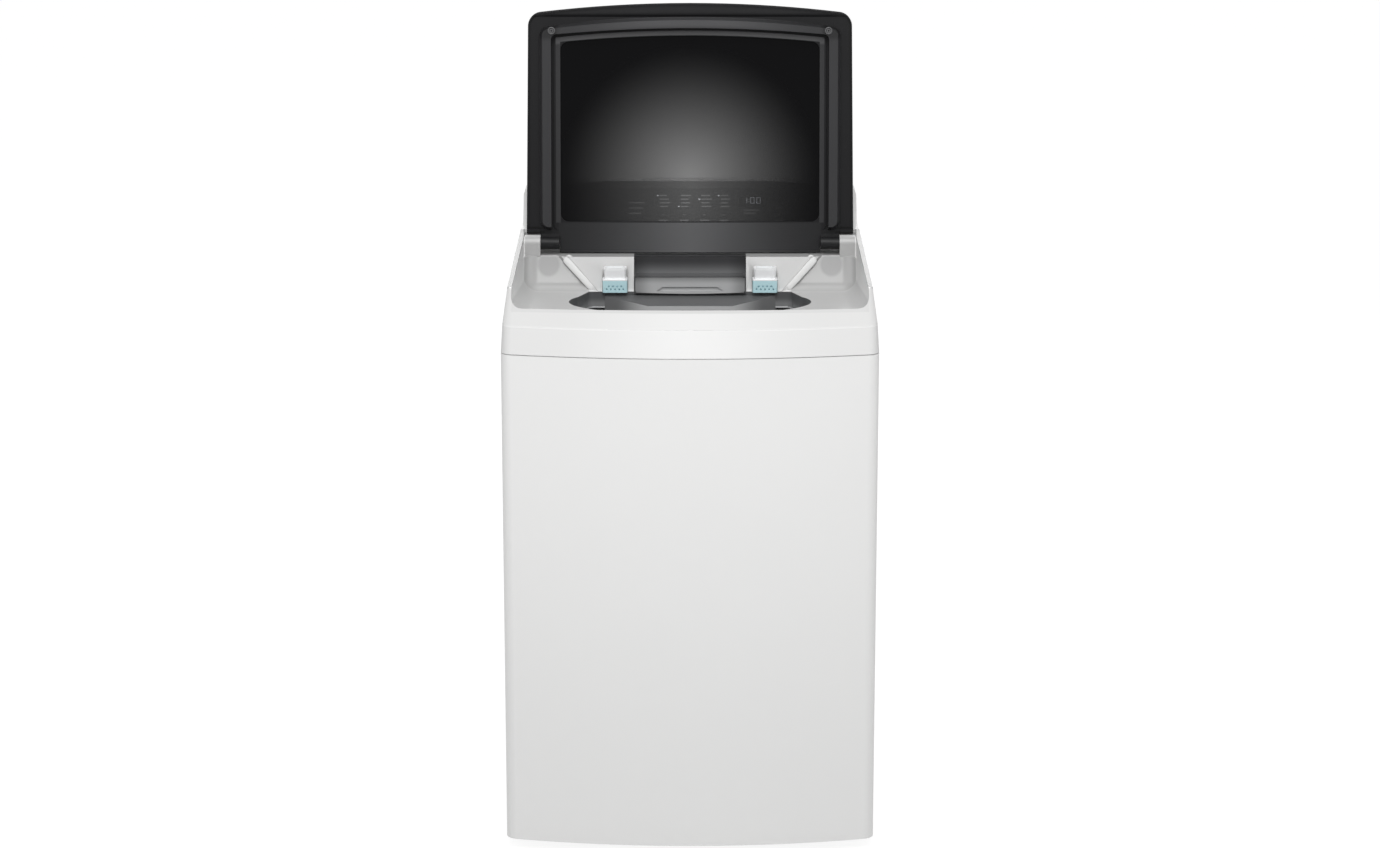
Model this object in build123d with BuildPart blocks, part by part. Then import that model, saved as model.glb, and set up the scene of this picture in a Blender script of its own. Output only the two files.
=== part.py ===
"""Top load washing machine, every piece built in place, in millimetres.

X points right, Y to the back and Z up; the floor is z = 0 and the bowed front looks along -Y.
"""
import os
from math import acos, atan2, cos, hypot, radians, sin

from build123d import *

os.makedirs("parts", exist_ok=True)

# Clearances
SLIP = 0.3
RUN = 0.05
EASE = 0.6
CUT = 1.0
WHOLE = 1000.0
COVER_BLANK = WHOLE / 5

# Cabinet
HALF_W = 300.0
FRONT_Y = -310.0
BOW = 37.0
BACK_Y = 285.0
REAR_Y = 310.0
SHEET = 1.0
CORNER_R = 22.0
BACK_R = 6.0
CAB_Z0 = 18.0
CAB_Z1 = 826.5
FLANGE = 18.0
REAR_FLANGE = 22.0

# Back panel
PANEL_IN = 7.0
PANEL_HALF = HALF_W - PANEL_IN
PANEL_Z0 = 26.0
PANEL_Z1 = 826.0
BEAD_LEN = 440.0
BEAD_W = 26.0
BEAD_RISE = 2.5
BEAD_ZS = (250.0, 420.0, 590.0, 740.0)
LOUVRE_XS = (-60.0, 0.0, 60.0)
LOUVRE_ZS = (60.0, 76.0, 92.0, 108.0)
LOUVRE_W = 48.0
LOUVRE_H = 5.0
SCREW_IN = 7.0
SCREW_END = 16.0
SCREW_ROWS = 5
SCREW_R = 4.2
SCREW_T = 2.4

# Base and feet
BASE_WALL = 3.0
BASE_WEB_Z = 26.0
BASE_TOP = 64.0
WEB_W = 70.0
RIB_YS = (-130.0, 0.0, 150.0)
RIB_TOP = 50.0
SHELF_REACH = 60.0
FOOT_IN = 54.0
FOOT_X = HALF_W - FOOT_IN
FOOT_FRONT_Y = -206.0
FOOT_REAR_Y = 232.0
FOOT_R = 22.0
STUD_R = 5.0
STUD_TOP = 60.0
BOSS_R = 15.0
BOSS_TOP = 58.0
PAD_H = 10.0
HEX_TOP = 16.0
HEX_R = 15.0

# Tub on its suspension
AXIS_Y = -28.0
TUB_R = 258.0
TUB_WALL = 3.0
TUB_FLOOR = 4.0
TUB_RIM = 6.0
TUB_Z0 = 332.0
TUB_Z1 = 800.0
HUB_Z1 = 346.0
HUB_WALL = 14.0
HUB_ROOM = 2.0
RIB_MID = 120.0
RIB_LEN = 190.0
ROD_OUT = 41.8
ROD_X = (TUB_R + ROD_OUT) * cos(radians(45))
ROD_R = 4.0
ROD_ROOM = 2.0
ROD_HEAD_R = 9.0
ROD_HEAD_H = 6.0
ROD_PROUD = 2.0
ROD_TAIL = 12.0
BRACKET_Z = 778.0
BRACKET_T = 3.0
BRACKET_GAP = 16.0
BRACKET_REACH = 42.0
LUG_Z = 440.0
LUG_T = 15.0
LUG_ROOT = 26.0
LUG_TIP = 16.0
LUG_END = 18.0
BELL_R = 20.0
BELL_WALL = 3.0
BELL_Z0 = 394.0
WASHER_Z = 388.0
WASHER_T = 4.0
SPRING_R = 15.0
SPRING_BORE = 8.0
RING_IN = 54.0
RING_INNER = TUB_R - RING_IN
RING_T = 4.0
RING_LIP = 12.0
PLATE_Z = 318.0
PLATE_T = 4.0
PLATE_R = 20.0
PLATE_LEFT = -110.0
PLATE_WAIST = -60.0
PLATE_FRONT = -190.0
PLATE_TURN = 20.0

# Drive
SPIN_R = 17.5
SPIN_Z0 = 276.0
SPIN_PROUD = 6.0
WASH_R = 9.0
WASH_Z0 = 278.0
INPUT_R = 8.0
INPUT_TOP = 266.0
INPUT_END = 2.0
SHAFT_END = 5.0
BEARING_R = 31.0
BEARING_H = 14.0
GEAR_Z0 = 236.0
GEAR_R = 74.0
GEAR_RIBS = 10
GEAR_RIB_OUT = 2.0
GEAR_FLANGE_R = 96.0
GEAR_FLANGE_T = 6.0
GEAR_NOSE = 12.0
GEAR_NOSE_R = 34.0
GEAR_RIB = 10.0
GEAR_RIB_T = 4.0
GEAR_FOOT = 3.0
SPIN_END = 4.0
PULLEY_Z = 190.0
PULLEY_H = 22.0
PULLEY_RIM = 18.0
PULLEY_HUB_R = 24.0
SPOKE_W = 16.0
SPOKE_LAP = 6.0
PULLEY_SPOKES = 5
SPOKE_H = 8.0
DRIVEN_R = 90.0
MOTOR_R = 65.0
MOTOR_X = 150.0
MOTOR_Y = 90.0
MOTOR_Z0 = 226.0
MOTOR_Z1 = 306.0
MOTOR_NECK = 12.0
MOTOR_NOSE = 8.0
MOTOR_NOSE_R = 22.0
MOTOR_VENT_W = 14.0
MOTOR_VENT_H = 50.0
MOTOR_PULLEY_R = 32.0
MOTOR_SHAFT_R = 6.0
MOTOR_SHAFT_TOP = 250.0
MOTOR_BORE_END = 2.0
MOTOR_VENTS = 8
GROOVE = 8.0
GROOVE_Z0 = 196.0
GROOVE_Z1 = 206.0
BELT_T = 7.0
PLATE_RIGHT = MOTOR_X + MOTOR_R + 10.0
PLATE_BACK = MOTOR_Y + MOTOR_R + 10.0

# Basket
BASKET_GAP = 18.0
BASKET_R = TUB_R - BASKET_GAP
BASKET_WALL = 1.2
BASKET_FLOOR = 1.6
BASKET_Z0 = 352.0
BASKET_Z1 = 766.0
ROLL_ZS = (430.0, 700.0)
ROLL_H = 8.0
ROLL_OUT = 2.0
DRAIN_SLOT_IN = 34.0
DRAIN_SLOT_L = 36.0
DRAIN_SLOT_W = 9.0
HUB_R = 118.0
ARM_LAP = 18.0
ARM_W = 40.0
ARM_IN = 10.0
BALANCE_OUT = 5.0
BALANCE_R = BASKET_R + BALANCE_OUT
BALANCE_Z1 = 797.0
BALANCE_BACK = 2.0
BALANCE_EDGE = 7.0
BALANCE_MOUTH = 11.0
PULSATOR_GAP = 72.0
PULSATOR_R = BASKET_R - PULSATOR_GAP
PULSATOR_Z = 364.0
PULSATOR_EDGE = 6.0
PULSATOR_SAG = 8.0
PULSATOR_DOME = 30.0
FIN_LEN = 126.0
FIN_IN = 9.0
FIN_DRAFT = 9.0
FINS = 6
FIN_W = 18.0
FIN_H = 32.0
CAP_R = 22.5
CAP_ROOM = 0.5
CAP_Z0 = 26.0
CAP_H = 6.0

# Top cover
COVER_Z0 = 828.0
COVER_WALL = 3.5
COVER_SKIRT = 6.5
SKIRT_IN = 3.0
CREASE_Z = 873.0
CREASE_IN = 3.0
CREASE_R = CORNER_R - 2.0
CREASE_HALF = HALF_W - CREASE_IN
CREASE_FRONT = FRONT_Y + CREASE_IN
CREASE_SOLID = 14.0
FRONT_SOLID = 30.0
LOFT_Z = 965.0
LOFT_IN = 14.0
LOFT_R = CORNER_R - 8.0
LOFT_HALF = HALF_W - LOFT_IN
LOFT_FRONT = -137.0
LOFT_BOW = -37.0
KINK_Y = -222.0
KINK_Z = 922.0
HINGE_Y = 145.0
HINGE_Z = 930.0
RIM_RISE = 24.0 / 367.0
DECK_Y = 170.0
DECK_Z = 944.0
RIM_FRONT_W = 15.5
RIM_REAR_W = 20.0
BASIN_HALF_F = HALF_W - RIM_FRONT_W
BASIN_HALF_R = HALF_W - RIM_REAR_W
BASIN_FRONT = -272.0
BASIN_BOW = 19.0
BASIN_R = 16.0
BASIN_SOFT = 28.0
FLOOR_MID = -80.0
FLOOR_FRONT_Z = 890.0
FLOOR_REAR_Z = 855.0
FLOOR_REAR_Y = 103.0
REAR_WALL_Y = 133.0
HINGE_DECK_Z = 911.0
MOUTH_R = 198.0
MOUTH_Y = -60.0
MOUTH_REAR = 90.0
MOUTH_HALF = 171.0
MOUTH_CORNER = 12.0
COLLAR_Z = 832.0
BULK_Y = 90.0
BULK_Z = 856.5
BULK_TOP_Y = 120.0
BULK_HALF0 = 158.5
BULK_HALF1 = 228.5
BULK_DEPTH = 24.0
BULK_SINK = 2.0
BULK_RIDGE = 11.5
POST_R = 14.0
PIN_R = 4.0
PIN_LEN = 31.0

# Lid, standing open
LEAN = 8.0
LID_IN = 23.0
LID_HALF_R = HALF_W - LID_IN
LID_HALF_F = LID_HALF_R - 4.0
LID_LEN = 403.5
LID_BOW = 17.0
LID_BEND = 381.0
BEND_RISE = 16.0
LID_REAR = -16.0
LID_OUT = -16.0
LID_SKIN = 4.0
LID_CORE = -8.0
LID_CORNER = 24.0
LID_EDGE = 2.5
LID_DEEP = 64.0
LID_TUCK = 10.0
GLASS_IN = 58.0
GLASS_HALF = LID_HALF_R - GLASS_IN
GLASS_Y0 = 36.0
GLASS_Y1 = 349.0
GLASS_BOW = 11.0
GLASS_R = 14.0
GLASS_REBATE = 7.0
GLASS_T = 4.0
TRIM_OUT = LID_HALF_R - 23.0
TRIM_W = 20.0
TRIM_IN = TRIM_OUT - TRIM_W
TRIM_BEVEL = 16.0
TRIM_TOP = 10.0
TRIM_Y0 = 22.0
TRIM_Y1 = 380.0
TRIM_INNER_Y1 = 361.5
TRIM_R = 16.0
TRIM_INNER_R = 10.0
GROOVE_W = 4.0
GROOVE_DEPTH = 4.0
SCREW_X = TRIM_IN - 1.0
SCREW_Y = 357.0
LID_SCREW_R = 3.4
LID_SCREW_T = 1.6
FOOT_STEP = 7.0
FOOT_TOP = -3.0
LIP_H = 3.0
LIP_OUT = 2.0
BARREL_X0 = GLASS_HALF + 2.0
BARREL_R = 10.5
NOTCH_Y = 15.5
LUG_DEEP = 10.0
POST_X0 = LID_HALF_R - 24.0
PIN_X0 = POST_X0 - 13.0

# Console
CONSOLE_HALF = HALF_W - 16.0
CONSOLE_FRONT = 172.0
CONSOLE_TOP_Y = 231.0
CONSOLE_TOP_Z = 1022.0
CONSOLE_CROWN_IN = 10.0
CONSOLE_BACK_IN = 4.0
CONSOLE_BACK_DROP = 2.0
CONSOLE_BACK_EDGE = 8.0
CONSOLE_CROWN = 3.0
CONSOLE_ARC_R = 3170.0
CONSOLE_R = 14.0
CONSOLE_WALL = 3.0
FASCIA_HALF = CONSOLE_HALF - 26.0
FASCIA_S0 = 11.0
FASCIA_S1 = 84.0
FASCIA_R = 6.0
FASCIA_T = 3.0
FASCIA_BACK = 7.0
KEY_W = 15.0
KEY_H = 8.0
KEY_R = 1.8
KEY_S = 32.0
KEY_PROUD = 1.6
KEY_BACK = 14.5
KEY_ROOM = 2.0
BOARD_DEPTH = 22.0
BOARD_T = 1.6
BOARD_X = 70.0
BOARD_S = 46.0
BOARD_W = 290.0
BOARD_H = 44.0
SWITCH_W = 6.0
SWITCH_H = 4.3
DIGIT_W = 40.0
DIGIT_H = 12.0
DIGIT_T = 9.0
PILLAR_IN_X = 5.0
PILLAR_IN_S = 4.0
PILLAR_R = 3.0
WINDOW_X = 106.0
WINDOW_W = 46.0
WINDOW_S = 58.0
WINDOW_H = 20.0
WINDOW_R = 2.0
WINDOW_SEAT = 4.0
WINDOW_SINK = 0.4
KEYS = {
    "key_program": -46.0,
    "key_level": -10.0,
    "key_rinse": 25.0,
    "key_spin": 58.0,
    "key_start": 152.0,
    "key_power": 192.0,
}

# Dispenser, filters and chute
POCKET_HALF = 94.5
POCKET_DROP = 6.0
POCKET_TOP = 906.0
HOOD_Y = 126.0
SCOOP_Y0 = 112.0
SCOOP_Y1 = 123.0
DRAWER_TOP = 882.0
DRAWER_Z0 = 857.0
DRAWER_Y = 85.0
DRAWER_BACK = 196.0
DRAWER_WALL = 2.0
DRAWER_FRONT = 5.0
DRAWER_SAG = 2.5
DRAWER_R = 4.0
TRAY_SPLIT = 31.0
TRAY_LAP = 2.0
GRIP_Z0 = 859.0
GRIP_Z1 = 866.0
GRIP_HALF = 56.0
GRIP_DRAFT = 10.0
GRIP_DEPTH = 3.0
BOX_BACK = 204.0
BOX_Z0 = 852.5
BOX_WALL = 2.0
SILL_GAP = 1.0
ATTIC_IN = 12.0
BOX_HALF = POCKET_HALF - 0.5
SPOUT_XS = (-50.0, 0.0, 50.0)
SPOUT_W = 28.0
SPOUT_Y0 = 110.0
SPOUT_Y1 = 150.0
FILTER_X = 126.0
FILTER_W = 42.0
FILTER_Y0 = 81.0
FILTER_Y1 = 108.0
FILTER_R = 4.0
FILTER_WALL = 2.0
FILTER_SPLIT = 877.0
FILTER_TOP = 898.0
FILTER_LIP = 3.0
FILTER_NECK = 4.0
FILTER_FLARE = 7.0
HOLE_PITCH = 7.0
HOLES = 5
HOLE_R = 1.5
HOLE_RISE = (6.0, 11.0)
CHUTE_HALF0 = 144.0
CHUTE_HALF1 = 71.0
CHUTE_Y1 = 50.0
CHUTE_Z0 = 851.0
CHUTE_Z1 = 841.0
CHUTE_T = 3.0
CHUTE_DROP = 16.0

# Water
VALVE_Z = 976.0
VALVE_X = {"inlet_valve_hot": -140.0, "inlet_valve_cold": -80.0}
VALVE_R = 21.0
VALVE_BACK = 40.0
COIL_HALF = 12.0
COIL_LEN = 26.0
STUB_R = 13.22
STUB_BORE = 8.0
STUB_END = 10.0
SUMP_X = -150.0
SUMP_Y = 60.0
SUMP_R = 16.0
SUMP_WALL = 3.0
SUMP_DROP = 22.0
HOSE_WALL = 2.5
HOSE_FOLDS = 8
FOLD_PITCH = 16.0
FOLD_H = 7.0
FOLD_OUT = 6.0
FOLD_Z0 = 30.0
PUMP_TOP = 140.0
PUMP_MID = 96.0
PUMP_R = 42.0
PUMP_STEP = 12.0
PUMP_NECK = 18.0
SPIGOT_Y = 50.0
SPIGOT_LAP = 16.0
DRAIN_X = -182.0
DRAIN_Z = 118.0
DRAIN_R = 11.0
DRAIN_WALL = 2.5
COLLAR_T = 4.0
COLLAR_OUT = 8.0
GLAND_IN = 93.0
GLAND_X = PANEL_HALF - GLAND_IN
GLAND_Z = 150.0
GLAND_R = 9.0
GLAND_HEAD_R = 13.0
GLAND_HEAD_T = 8.0
GLAND_BORE = 4.0
LEVEL_X = 80.0
LEVEL_Y = 241.0
LEVEL_R = 26.0
LEVEL_H = 18.0
NIPPLE_R = 12.0
NIPPLE_H = 8.0

RODS = [(sx * ROD_X, AXIS_Y + sy * ROD_X) for sx in (-1, 1) for sy in (-1, 1)]
REAR_FEET = [(-FOOT_X, FOOT_REAR_Y), (FOOT_X, FOOT_REAR_Y)]
FRONT_FEET = [(-FOOT_X, FOOT_FRONT_Y), (FOOT_X, FOOT_FRONT_Y)]
ALL_FEET = REAR_FEET + FRONT_FEET
FLOOR_FALL = (FLOOR_FRONT_Z - FLOOR_REAR_Z) / (FLOOR_REAR_Y - BASIN_FRONT)
FASCIA_LEN = hypot(CONSOLE_TOP_Y - CONSOLE_FRONT, CONSOLE_TOP_Z - DECK_Z)
FASCIA_DY = (CONSOLE_TOP_Y - CONSOLE_FRONT) / FASCIA_LEN
FASCIA_DZ = (CONSOLE_TOP_Z - DECK_Z) / FASCIA_LEN
FASCIA_PLANE = Plane((0, CONSOLE_FRONT, DECK_Z), (1, 0, 0), (0, -FASCIA_DZ, FASCIA_DY))
LID_PLANE = Plane(
    (0, HINGE_Y, HINGE_Z), (1, 0, 0), (0, -cos(radians(LEAN)), sin(radians(LEAN)))
)
LID_SIDE = Plane((0, HINGE_Y, HINGE_Z), LID_PLANE.y_dir, (1, 0, 0))
SIDE = Plane((0, 0, 0), (0, 1, 0), (1, 0, 0))
BULK_LEN = hypot(BULK_TOP_Y - BULK_Y, HINGE_DECK_Z - BULK_Z)
BULK_PLANE = Plane((0, BULK_Y, BULK_Z), (1, 0, 0), (0, BULK_Z - HINGE_DECK_Z, BULK_TOP_Y - BULK_Y))


def plan(z, half, front, bow, back, front_r, back_r):
    """Bowed plan outline at height z: straight sides, arched front, rounded corners."""
    with BuildSketch(Plane.XY.offset(z)) as sketch:
        with BuildLine():
            ThreePointArc((-half, front + bow), (0, front), (half, front + bow))
            Polyline((half, front + bow), (half, back), (-half, back), (-half, front + bow))
        make_face()
        rows = sketch.vertices().group_by(Axis.Y)
        fillet(rows[0], front_r)
        fillet(rows[-1], back_r)
    return sketch.sketch


def inset(z, gap, front_r=CORNER_R, back_r=BACK_R):
    """Plan of the cabinet, moved in by gap."""
    return plan(
        z, HALF_W - gap, FRONT_Y + gap, BOW, BACK_Y - gap, max(front_r - gap, 4), max(back_r - gap, 2)
    )


def disc(x, y, z0, z1, r, mode=Mode.ADD):
    """Upright cylinder between two heights."""
    with BuildSketch(Plane.XY.offset(z0)) as sketch:
        with Locations((x, y)):
            Circle(r)
    extrude(sketch.sketch, amount=z1 - z0, mode=mode)


def ring(x, y, z0, z1, outer, inner, mode=Mode.ADD):
    """Upright tube between two heights."""
    with BuildSketch(Plane.XY.offset(z0)) as sketch:
        with Locations((x, y)):
            Circle(outer)
            Circle(inner, mode=Mode.SUBTRACT)
    extrude(sketch.sketch, amount=z1 - z0, mode=mode)


def spokes(x, y, z0, z1, count, mid, length, width, start=0.0, mode=Mode.ADD):
    """Upright bars set round an axis, mid away from it."""
    with BuildSketch(Plane.XY.offset(z0)) as sketch:
        with Locations((x, y)):
            with PolarLocations(mid, count, start_angle=start):
                Rectangle(length, width)
    extrude(sketch.sketch, amount=z1 - z0, mode=mode)


def block(x0, x1, y0, y1, z0, z1, mode=Mode.ADD):
    """Upright block between two corners."""
    with BuildSketch(Plane.XY.offset(z0)) as sketch:
        with Locations(((x0 + x1) / 2, (y0 + y1) / 2)):
            Rectangle(abs(x1 - x0), abs(y1 - y0))
    extrude(sketch.sketch, amount=z1 - z0, mode=mode)


def rod_y(x, z, y0, y1, r, mode=Mode.ADD):
    """Cylinder along Y between two depths."""
    with BuildSketch(Plane((0, y0, 0), (1, 0, 0), (0, 1, 0))) as sketch:
        with Locations((x, -z)):
            Circle(r)
    extrude(sketch.sketch, amount=y1 - y0, mode=mode)


def rod_x(y, z, x0, x1, r, mode=Mode.ADD):
    """Cylinder along X between two sides."""
    with BuildSketch(Plane((x0, 0, 0), (0, 1, 0), (1, 0, 0))) as sketch:
        with Locations((y, z)):
            Circle(r)
    extrude(sketch.sketch, amount=x1 - x0, mode=mode)


def prism(plane, points, half, mode=Mode.ADD):
    """Prism to both sides of a plane from a polygon on it."""
    with BuildSketch(plane) as sketch:
        with BuildLine():
            Polyline(*points, close=True)
        make_face()
    extrude(sketch.sketch, amount=half, both=True, mode=mode)


def fascia_block(x, s, width, height, depth, rise, r=0.0, mode=Mode.ADD):
    """Block on the fascia's plane, from depth behind it and rising by rise."""
    with BuildSketch(FASCIA_PLANE.offset(-depth)) as sketch:
        with Locations((x, s)):
            if r > 0:
                RectangleRounded(width, height, r)
            else:
                Rectangle(width, height)
    extrude(sketch.sketch, amount=rise, mode=mode)


def lid_window(z, half, y0, y1, bow, top_r, foot_r):
    """Panel outline on the lid at depth z: straight sides and an arched front edge."""
    with BuildSketch(LID_PLANE.offset(z)) as sketch:
        with BuildLine():
            ThreePointArc((half, y1 - bow), (0, y1), (-half, y1 - bow))
            Polyline((-half, y1 - bow), (-half, y0), (half, y0), (half, y1 - bow))
        make_face()
        rows = sketch.vertices().group_by(Axis.Z)
        fillet(rows[-1], top_r)
        fillet(rows[0], foot_r)
    return sketch.sketch


def glass_window(z, grow):
    """Outline of the glass at depth z, moved out by grow."""
    r = GLASS_R + grow / 2
    return lid_window(
        z, GLASS_HALF + grow, GLASS_Y0 - grow, GLASS_Y1 + grow, GLASS_BOW, r, r
    )


def trim_inner(z, gap, y0):
    """Inner outline of the trim at depth z, moved in by gap, with its foot at y0."""
    r = TRIM_INNER_R
    return lid_window(z, TRIM_IN - gap, y0, TRIM_INNER_Y1 - gap, GLASS_BOW, r, 2)


def lid_plan(z, shrink, r):
    """Whole lid outline at depth z, moved in by shrink."""
    front = LID_LEN - LID_BOW - shrink
    with BuildSketch(LID_PLANE.offset(z)) as sketch:
        with BuildLine():
            ThreePointArc(
                (LID_HALF_F - shrink, front), (0, LID_LEN - shrink), (-LID_HALF_F + shrink, front)
            )
            Polyline(
                (-LID_HALF_F + shrink, front),
                (-LID_HALF_R + shrink, LID_REAR),
                (LID_HALF_R - shrink, LID_REAR),
                (LID_HALF_F - shrink, front),
            )
        make_face()
        fillet(sketch.vertices().group_by(Axis.Z)[-1], r)
    return sketch.sketch


def lid_block(x0, x1, y0, y1, z0, z1, mode=Mode.ADD):
    """Block on the lid between two corners of its plane and two depths."""
    with BuildSketch(LID_PLANE.offset(z0)) as sketch:
        with Locations(((x0 + x1) / 2, (y0 + y1) / 2)):
            Rectangle(abs(x1 - x0), abs(y1 - y0))
    extrude(sketch.sketch, amount=z1 - z0, mode=mode)


def floor_z(y):
    """Height of the tilted basin floor at depth y."""
    return FLOOR_FRONT_Z - (y - BASIN_FRONT) * FLOOR_FALL


def rim_z(y):
    """Height of the sloping rim at depth y."""
    return KINK_Z + (y - KINK_Y) * RIM_RISE


def mouth_plan(z, grow):
    """Mouth outline at height z, moved out by grow: a round front and sides that close in to a flat rear."""
    rear = MOUTH_REAR + grow
    with BuildSketch(Plane.XY.offset(z)) as sketch:
        with BuildLine():
            Polyline(
                (-MOUTH_R - grow, MOUTH_Y),
                (MOUTH_R + grow, MOUTH_Y),
                (MOUTH_HALF + grow, rear),
                (-MOUTH_HALF - grow, rear),
                close=True,
            )
        make_face()
        fillet(sketch.vertices().group_by(Axis.Y)[-1], MOUTH_CORNER + grow)
        with Locations((0, MOUTH_Y)):
            Circle(MOUTH_R + grow)
        with Locations((0, rear + WHOLE / 2)):
            Rectangle(WHOLE, WHOLE, mode=Mode.SUBTRACT)
    return sketch.sketch


def behind_fascia(s, depth):
    """Y and Z of the point at length s up the fascia and depth behind it."""
    return (
        CONSOLE_FRONT + s * FASCIA_DY + depth * FASCIA_DZ,
        DECK_Z + s * FASCIA_DZ - depth * FASCIA_DY,
    )


def bulk_y(z):
    """Depth of the bulkhead face at height z."""
    return BULK_Y + (z - BULK_Z) * (BULK_TOP_Y - BULK_Y) / (HINGE_DECK_Z - BULK_Z)


# Cabinet wrap: front and sides in one bent sheet, with flanges all round
with BuildPart() as cabinet_wrap:
    extrude(inset(CAB_Z0, 0), amount=CAB_Z1 - CAB_Z0)
    extrude(inset(CAB_Z0, SHEET), amount=CAB_Z1 - CAB_Z0, mode=Mode.SUBTRACT)
    for z in (CAB_Z0, CAB_Z1 - SHEET):
        extrude(inset(z, SHEET / 2), amount=SHEET)
        extrude(inset(z, FLANGE), amount=SHEET, mode=Mode.SUBTRACT)
    opening = HALF_W - REAR_FLANGE
    block(-opening, opening, BACK_Y - 2 * SHEET, BACK_Y + SHEET, CAB_Z0, CAB_Z1, Mode.SUBTRACT)
cabinet_wrap.part.label = "cabinet_wrap"
export_step(cabinet_wrap.part, "parts/cabinet_wrap.step")

# Back panel with pressed beads, louvres and the outlets for drain and cord
with BuildPart() as back_panel:
    block(-PANEL_HALF, PANEL_HALF, BACK_Y, BACK_Y + SHEET, PANEL_Z0, PANEL_Z1)
    for z in BEAD_ZS:
        with BuildSketch(Plane((0, BACK_Y + SHEET, z), (1, 0, 0), (0, 1, 0))):
            SlotOverall(BEAD_LEN, BEAD_W)
        extrude(amount=BEAD_RISE, taper=35)
    through = (BACK_Y - CUT, BACK_Y + SHEET + CUT)
    for x in LOUVRE_XS:
        for z in LOUVRE_ZS:
            block(x - LOUVRE_W / 2, x + LOUVRE_W / 2, *through, z, z + LOUVRE_H, Mode.SUBTRACT)
    rod_y(DRAIN_X, DRAIN_Z, *through, DRAIN_R + 5 * SLIP, Mode.SUBTRACT)
    rod_y(GLAND_X, GLAND_Z, *through, GLAND_R, Mode.SUBTRACT)
back_panel.part.label = "back_panel"
export_step(back_panel.part, "parts/back_panel.step")

# Screws of the back panel
with BuildPart() as back_screws:
    pitch = (PANEL_Z1 - PANEL_Z0 - 2 * SCREW_END) / (SCREW_ROWS - 1)
    for x in (-PANEL_HALF + SCREW_IN, PANEL_HALF - SCREW_IN):
        for row in range(SCREW_ROWS):
            z = PANEL_Z0 + SCREW_END + row * pitch
            rod_y(x, z, BACK_Y + SHEET, BACK_Y + SHEET + SCREW_T, SCREW_R)
back_screws.part.label = "back_screws"
export_step(back_screws.part, "parts/back_screws.step")

# Base frame: moulded ring with a foot boss in each corner and a shelf for the pump
with BuildPart() as base_frame:
    base_z = CAB_Z0 + SHEET
    outside = SHEET + EASE
    wall = HALF_W - outside - BASE_WALL / 2
    extrude(inset(base_z, outside), amount=BASE_TOP - base_z)
    extrude(inset(base_z, outside + BASE_WALL), amount=BASE_TOP - base_z, mode=Mode.SUBTRACT)
    extrude(inset(BASE_WEB_Z, outside + BASE_WALL / 2), amount=BASE_WALL)
    extrude(inset(BASE_WEB_Z, WEB_W), amount=BASE_WALL, mode=Mode.SUBTRACT)
    block(
        -wall,
        SUMP_X + SHELF_REACH,
        SUMP_Y - SHELF_REACH,
        SUMP_Y + SHELF_REACH,
        BASE_WEB_Z,
        BASE_WEB_Z + BASE_WALL,
    )
    for side in (-1, 1):
        for y in RIB_YS:
            x1 = side * (HALF_W - WEB_W)
            block(side * wall, x1, y - BASE_WALL / 2, y + BASE_WALL / 2, BASE_WEB_Z, RIB_TOP)
    for x, y in ALL_FEET:
        disc(x, y, BASE_WEB_Z, BOSS_TOP, BOSS_R)
        x1 = wall if x > 0 else -wall
        block(x, x1, y - BASE_WALL / 2, y + BASE_WALL / 2, BASE_WEB_Z, RIB_TOP)
    for x, y in ALL_FEET:
        disc(x, y, BASE_WEB_Z - CUT, BASE_TOP, STUD_R + RUN, Mode.SUBTRACT)
base_frame.part.label = "base_frame"
export_step(base_frame.part, "parts/base_frame.step")


def foot(x, y, hex_top):
    """Levelling foot: rubber pad shape, hexagon and stud."""
    with BuildSketch(Plane.XY) as pad:
        with Locations((x, y)):
            Circle(FOOT_R)
    extrude(pad.sketch, amount=PAD_H, taper=8)
    with BuildSketch(Plane.XY.offset(PAD_H)) as nut:
        with Locations((x, y)):
            RegularPolygon(HEX_R, 6)
    extrude(nut.sketch, amount=hex_top - PAD_H)
    disc(x, y, PAD_H, STUD_TOP, STUD_R)


# Fixed rear feet
with BuildPart() as rear_feet:
    for x, y in REAR_FEET:
        foot(x, y, BASE_WEB_Z)
rear_feet.part.label = "rear_feet"
export_step(rear_feet.part, "parts/rear_feet.step")

# Screw-in front foot, left
with BuildPart() as front_foot_left:
    foot(*FRONT_FEET[0], HEX_TOP)
front_foot_left.part.label = "front_foot_left"
export_step(front_foot_left.part, "parts/front_foot_left.step")

# Screw-in front foot, right
with BuildPart() as front_foot_right:
    foot(*FRONT_FEET[1], HEX_TOP)
front_foot_right.part.label = "front_foot_right"
export_step(front_foot_right.part, "parts/front_foot_right.step")

# Corner plates that carry the suspension rods
with BuildPart() as suspension_brackets:
    with BuildSketch(Plane.XY.offset(BRACKET_Z)) as corners:
        add(inset(0, SHEET).face())
        with Locations((0, AXIS_Y)):
            Circle(TUB_R + BRACKET_GAP, mode=Mode.SUBTRACT)
            Rectangle(2 * (ROD_X - BRACKET_REACH), WHOLE, mode=Mode.SUBTRACT)
            Rectangle(WHOLE, 2 * (ROD_X - BRACKET_REACH), mode=Mode.SUBTRACT)
        with Locations(*RODS):
            Circle(ROD_R + EASE, mode=Mode.SUBTRACT)
    extrude(amount=BRACKET_T)
suspension_brackets.part.label = "suspension_brackets"
export_step(suspension_brackets.part, "parts/suspension_brackets.step")

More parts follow.
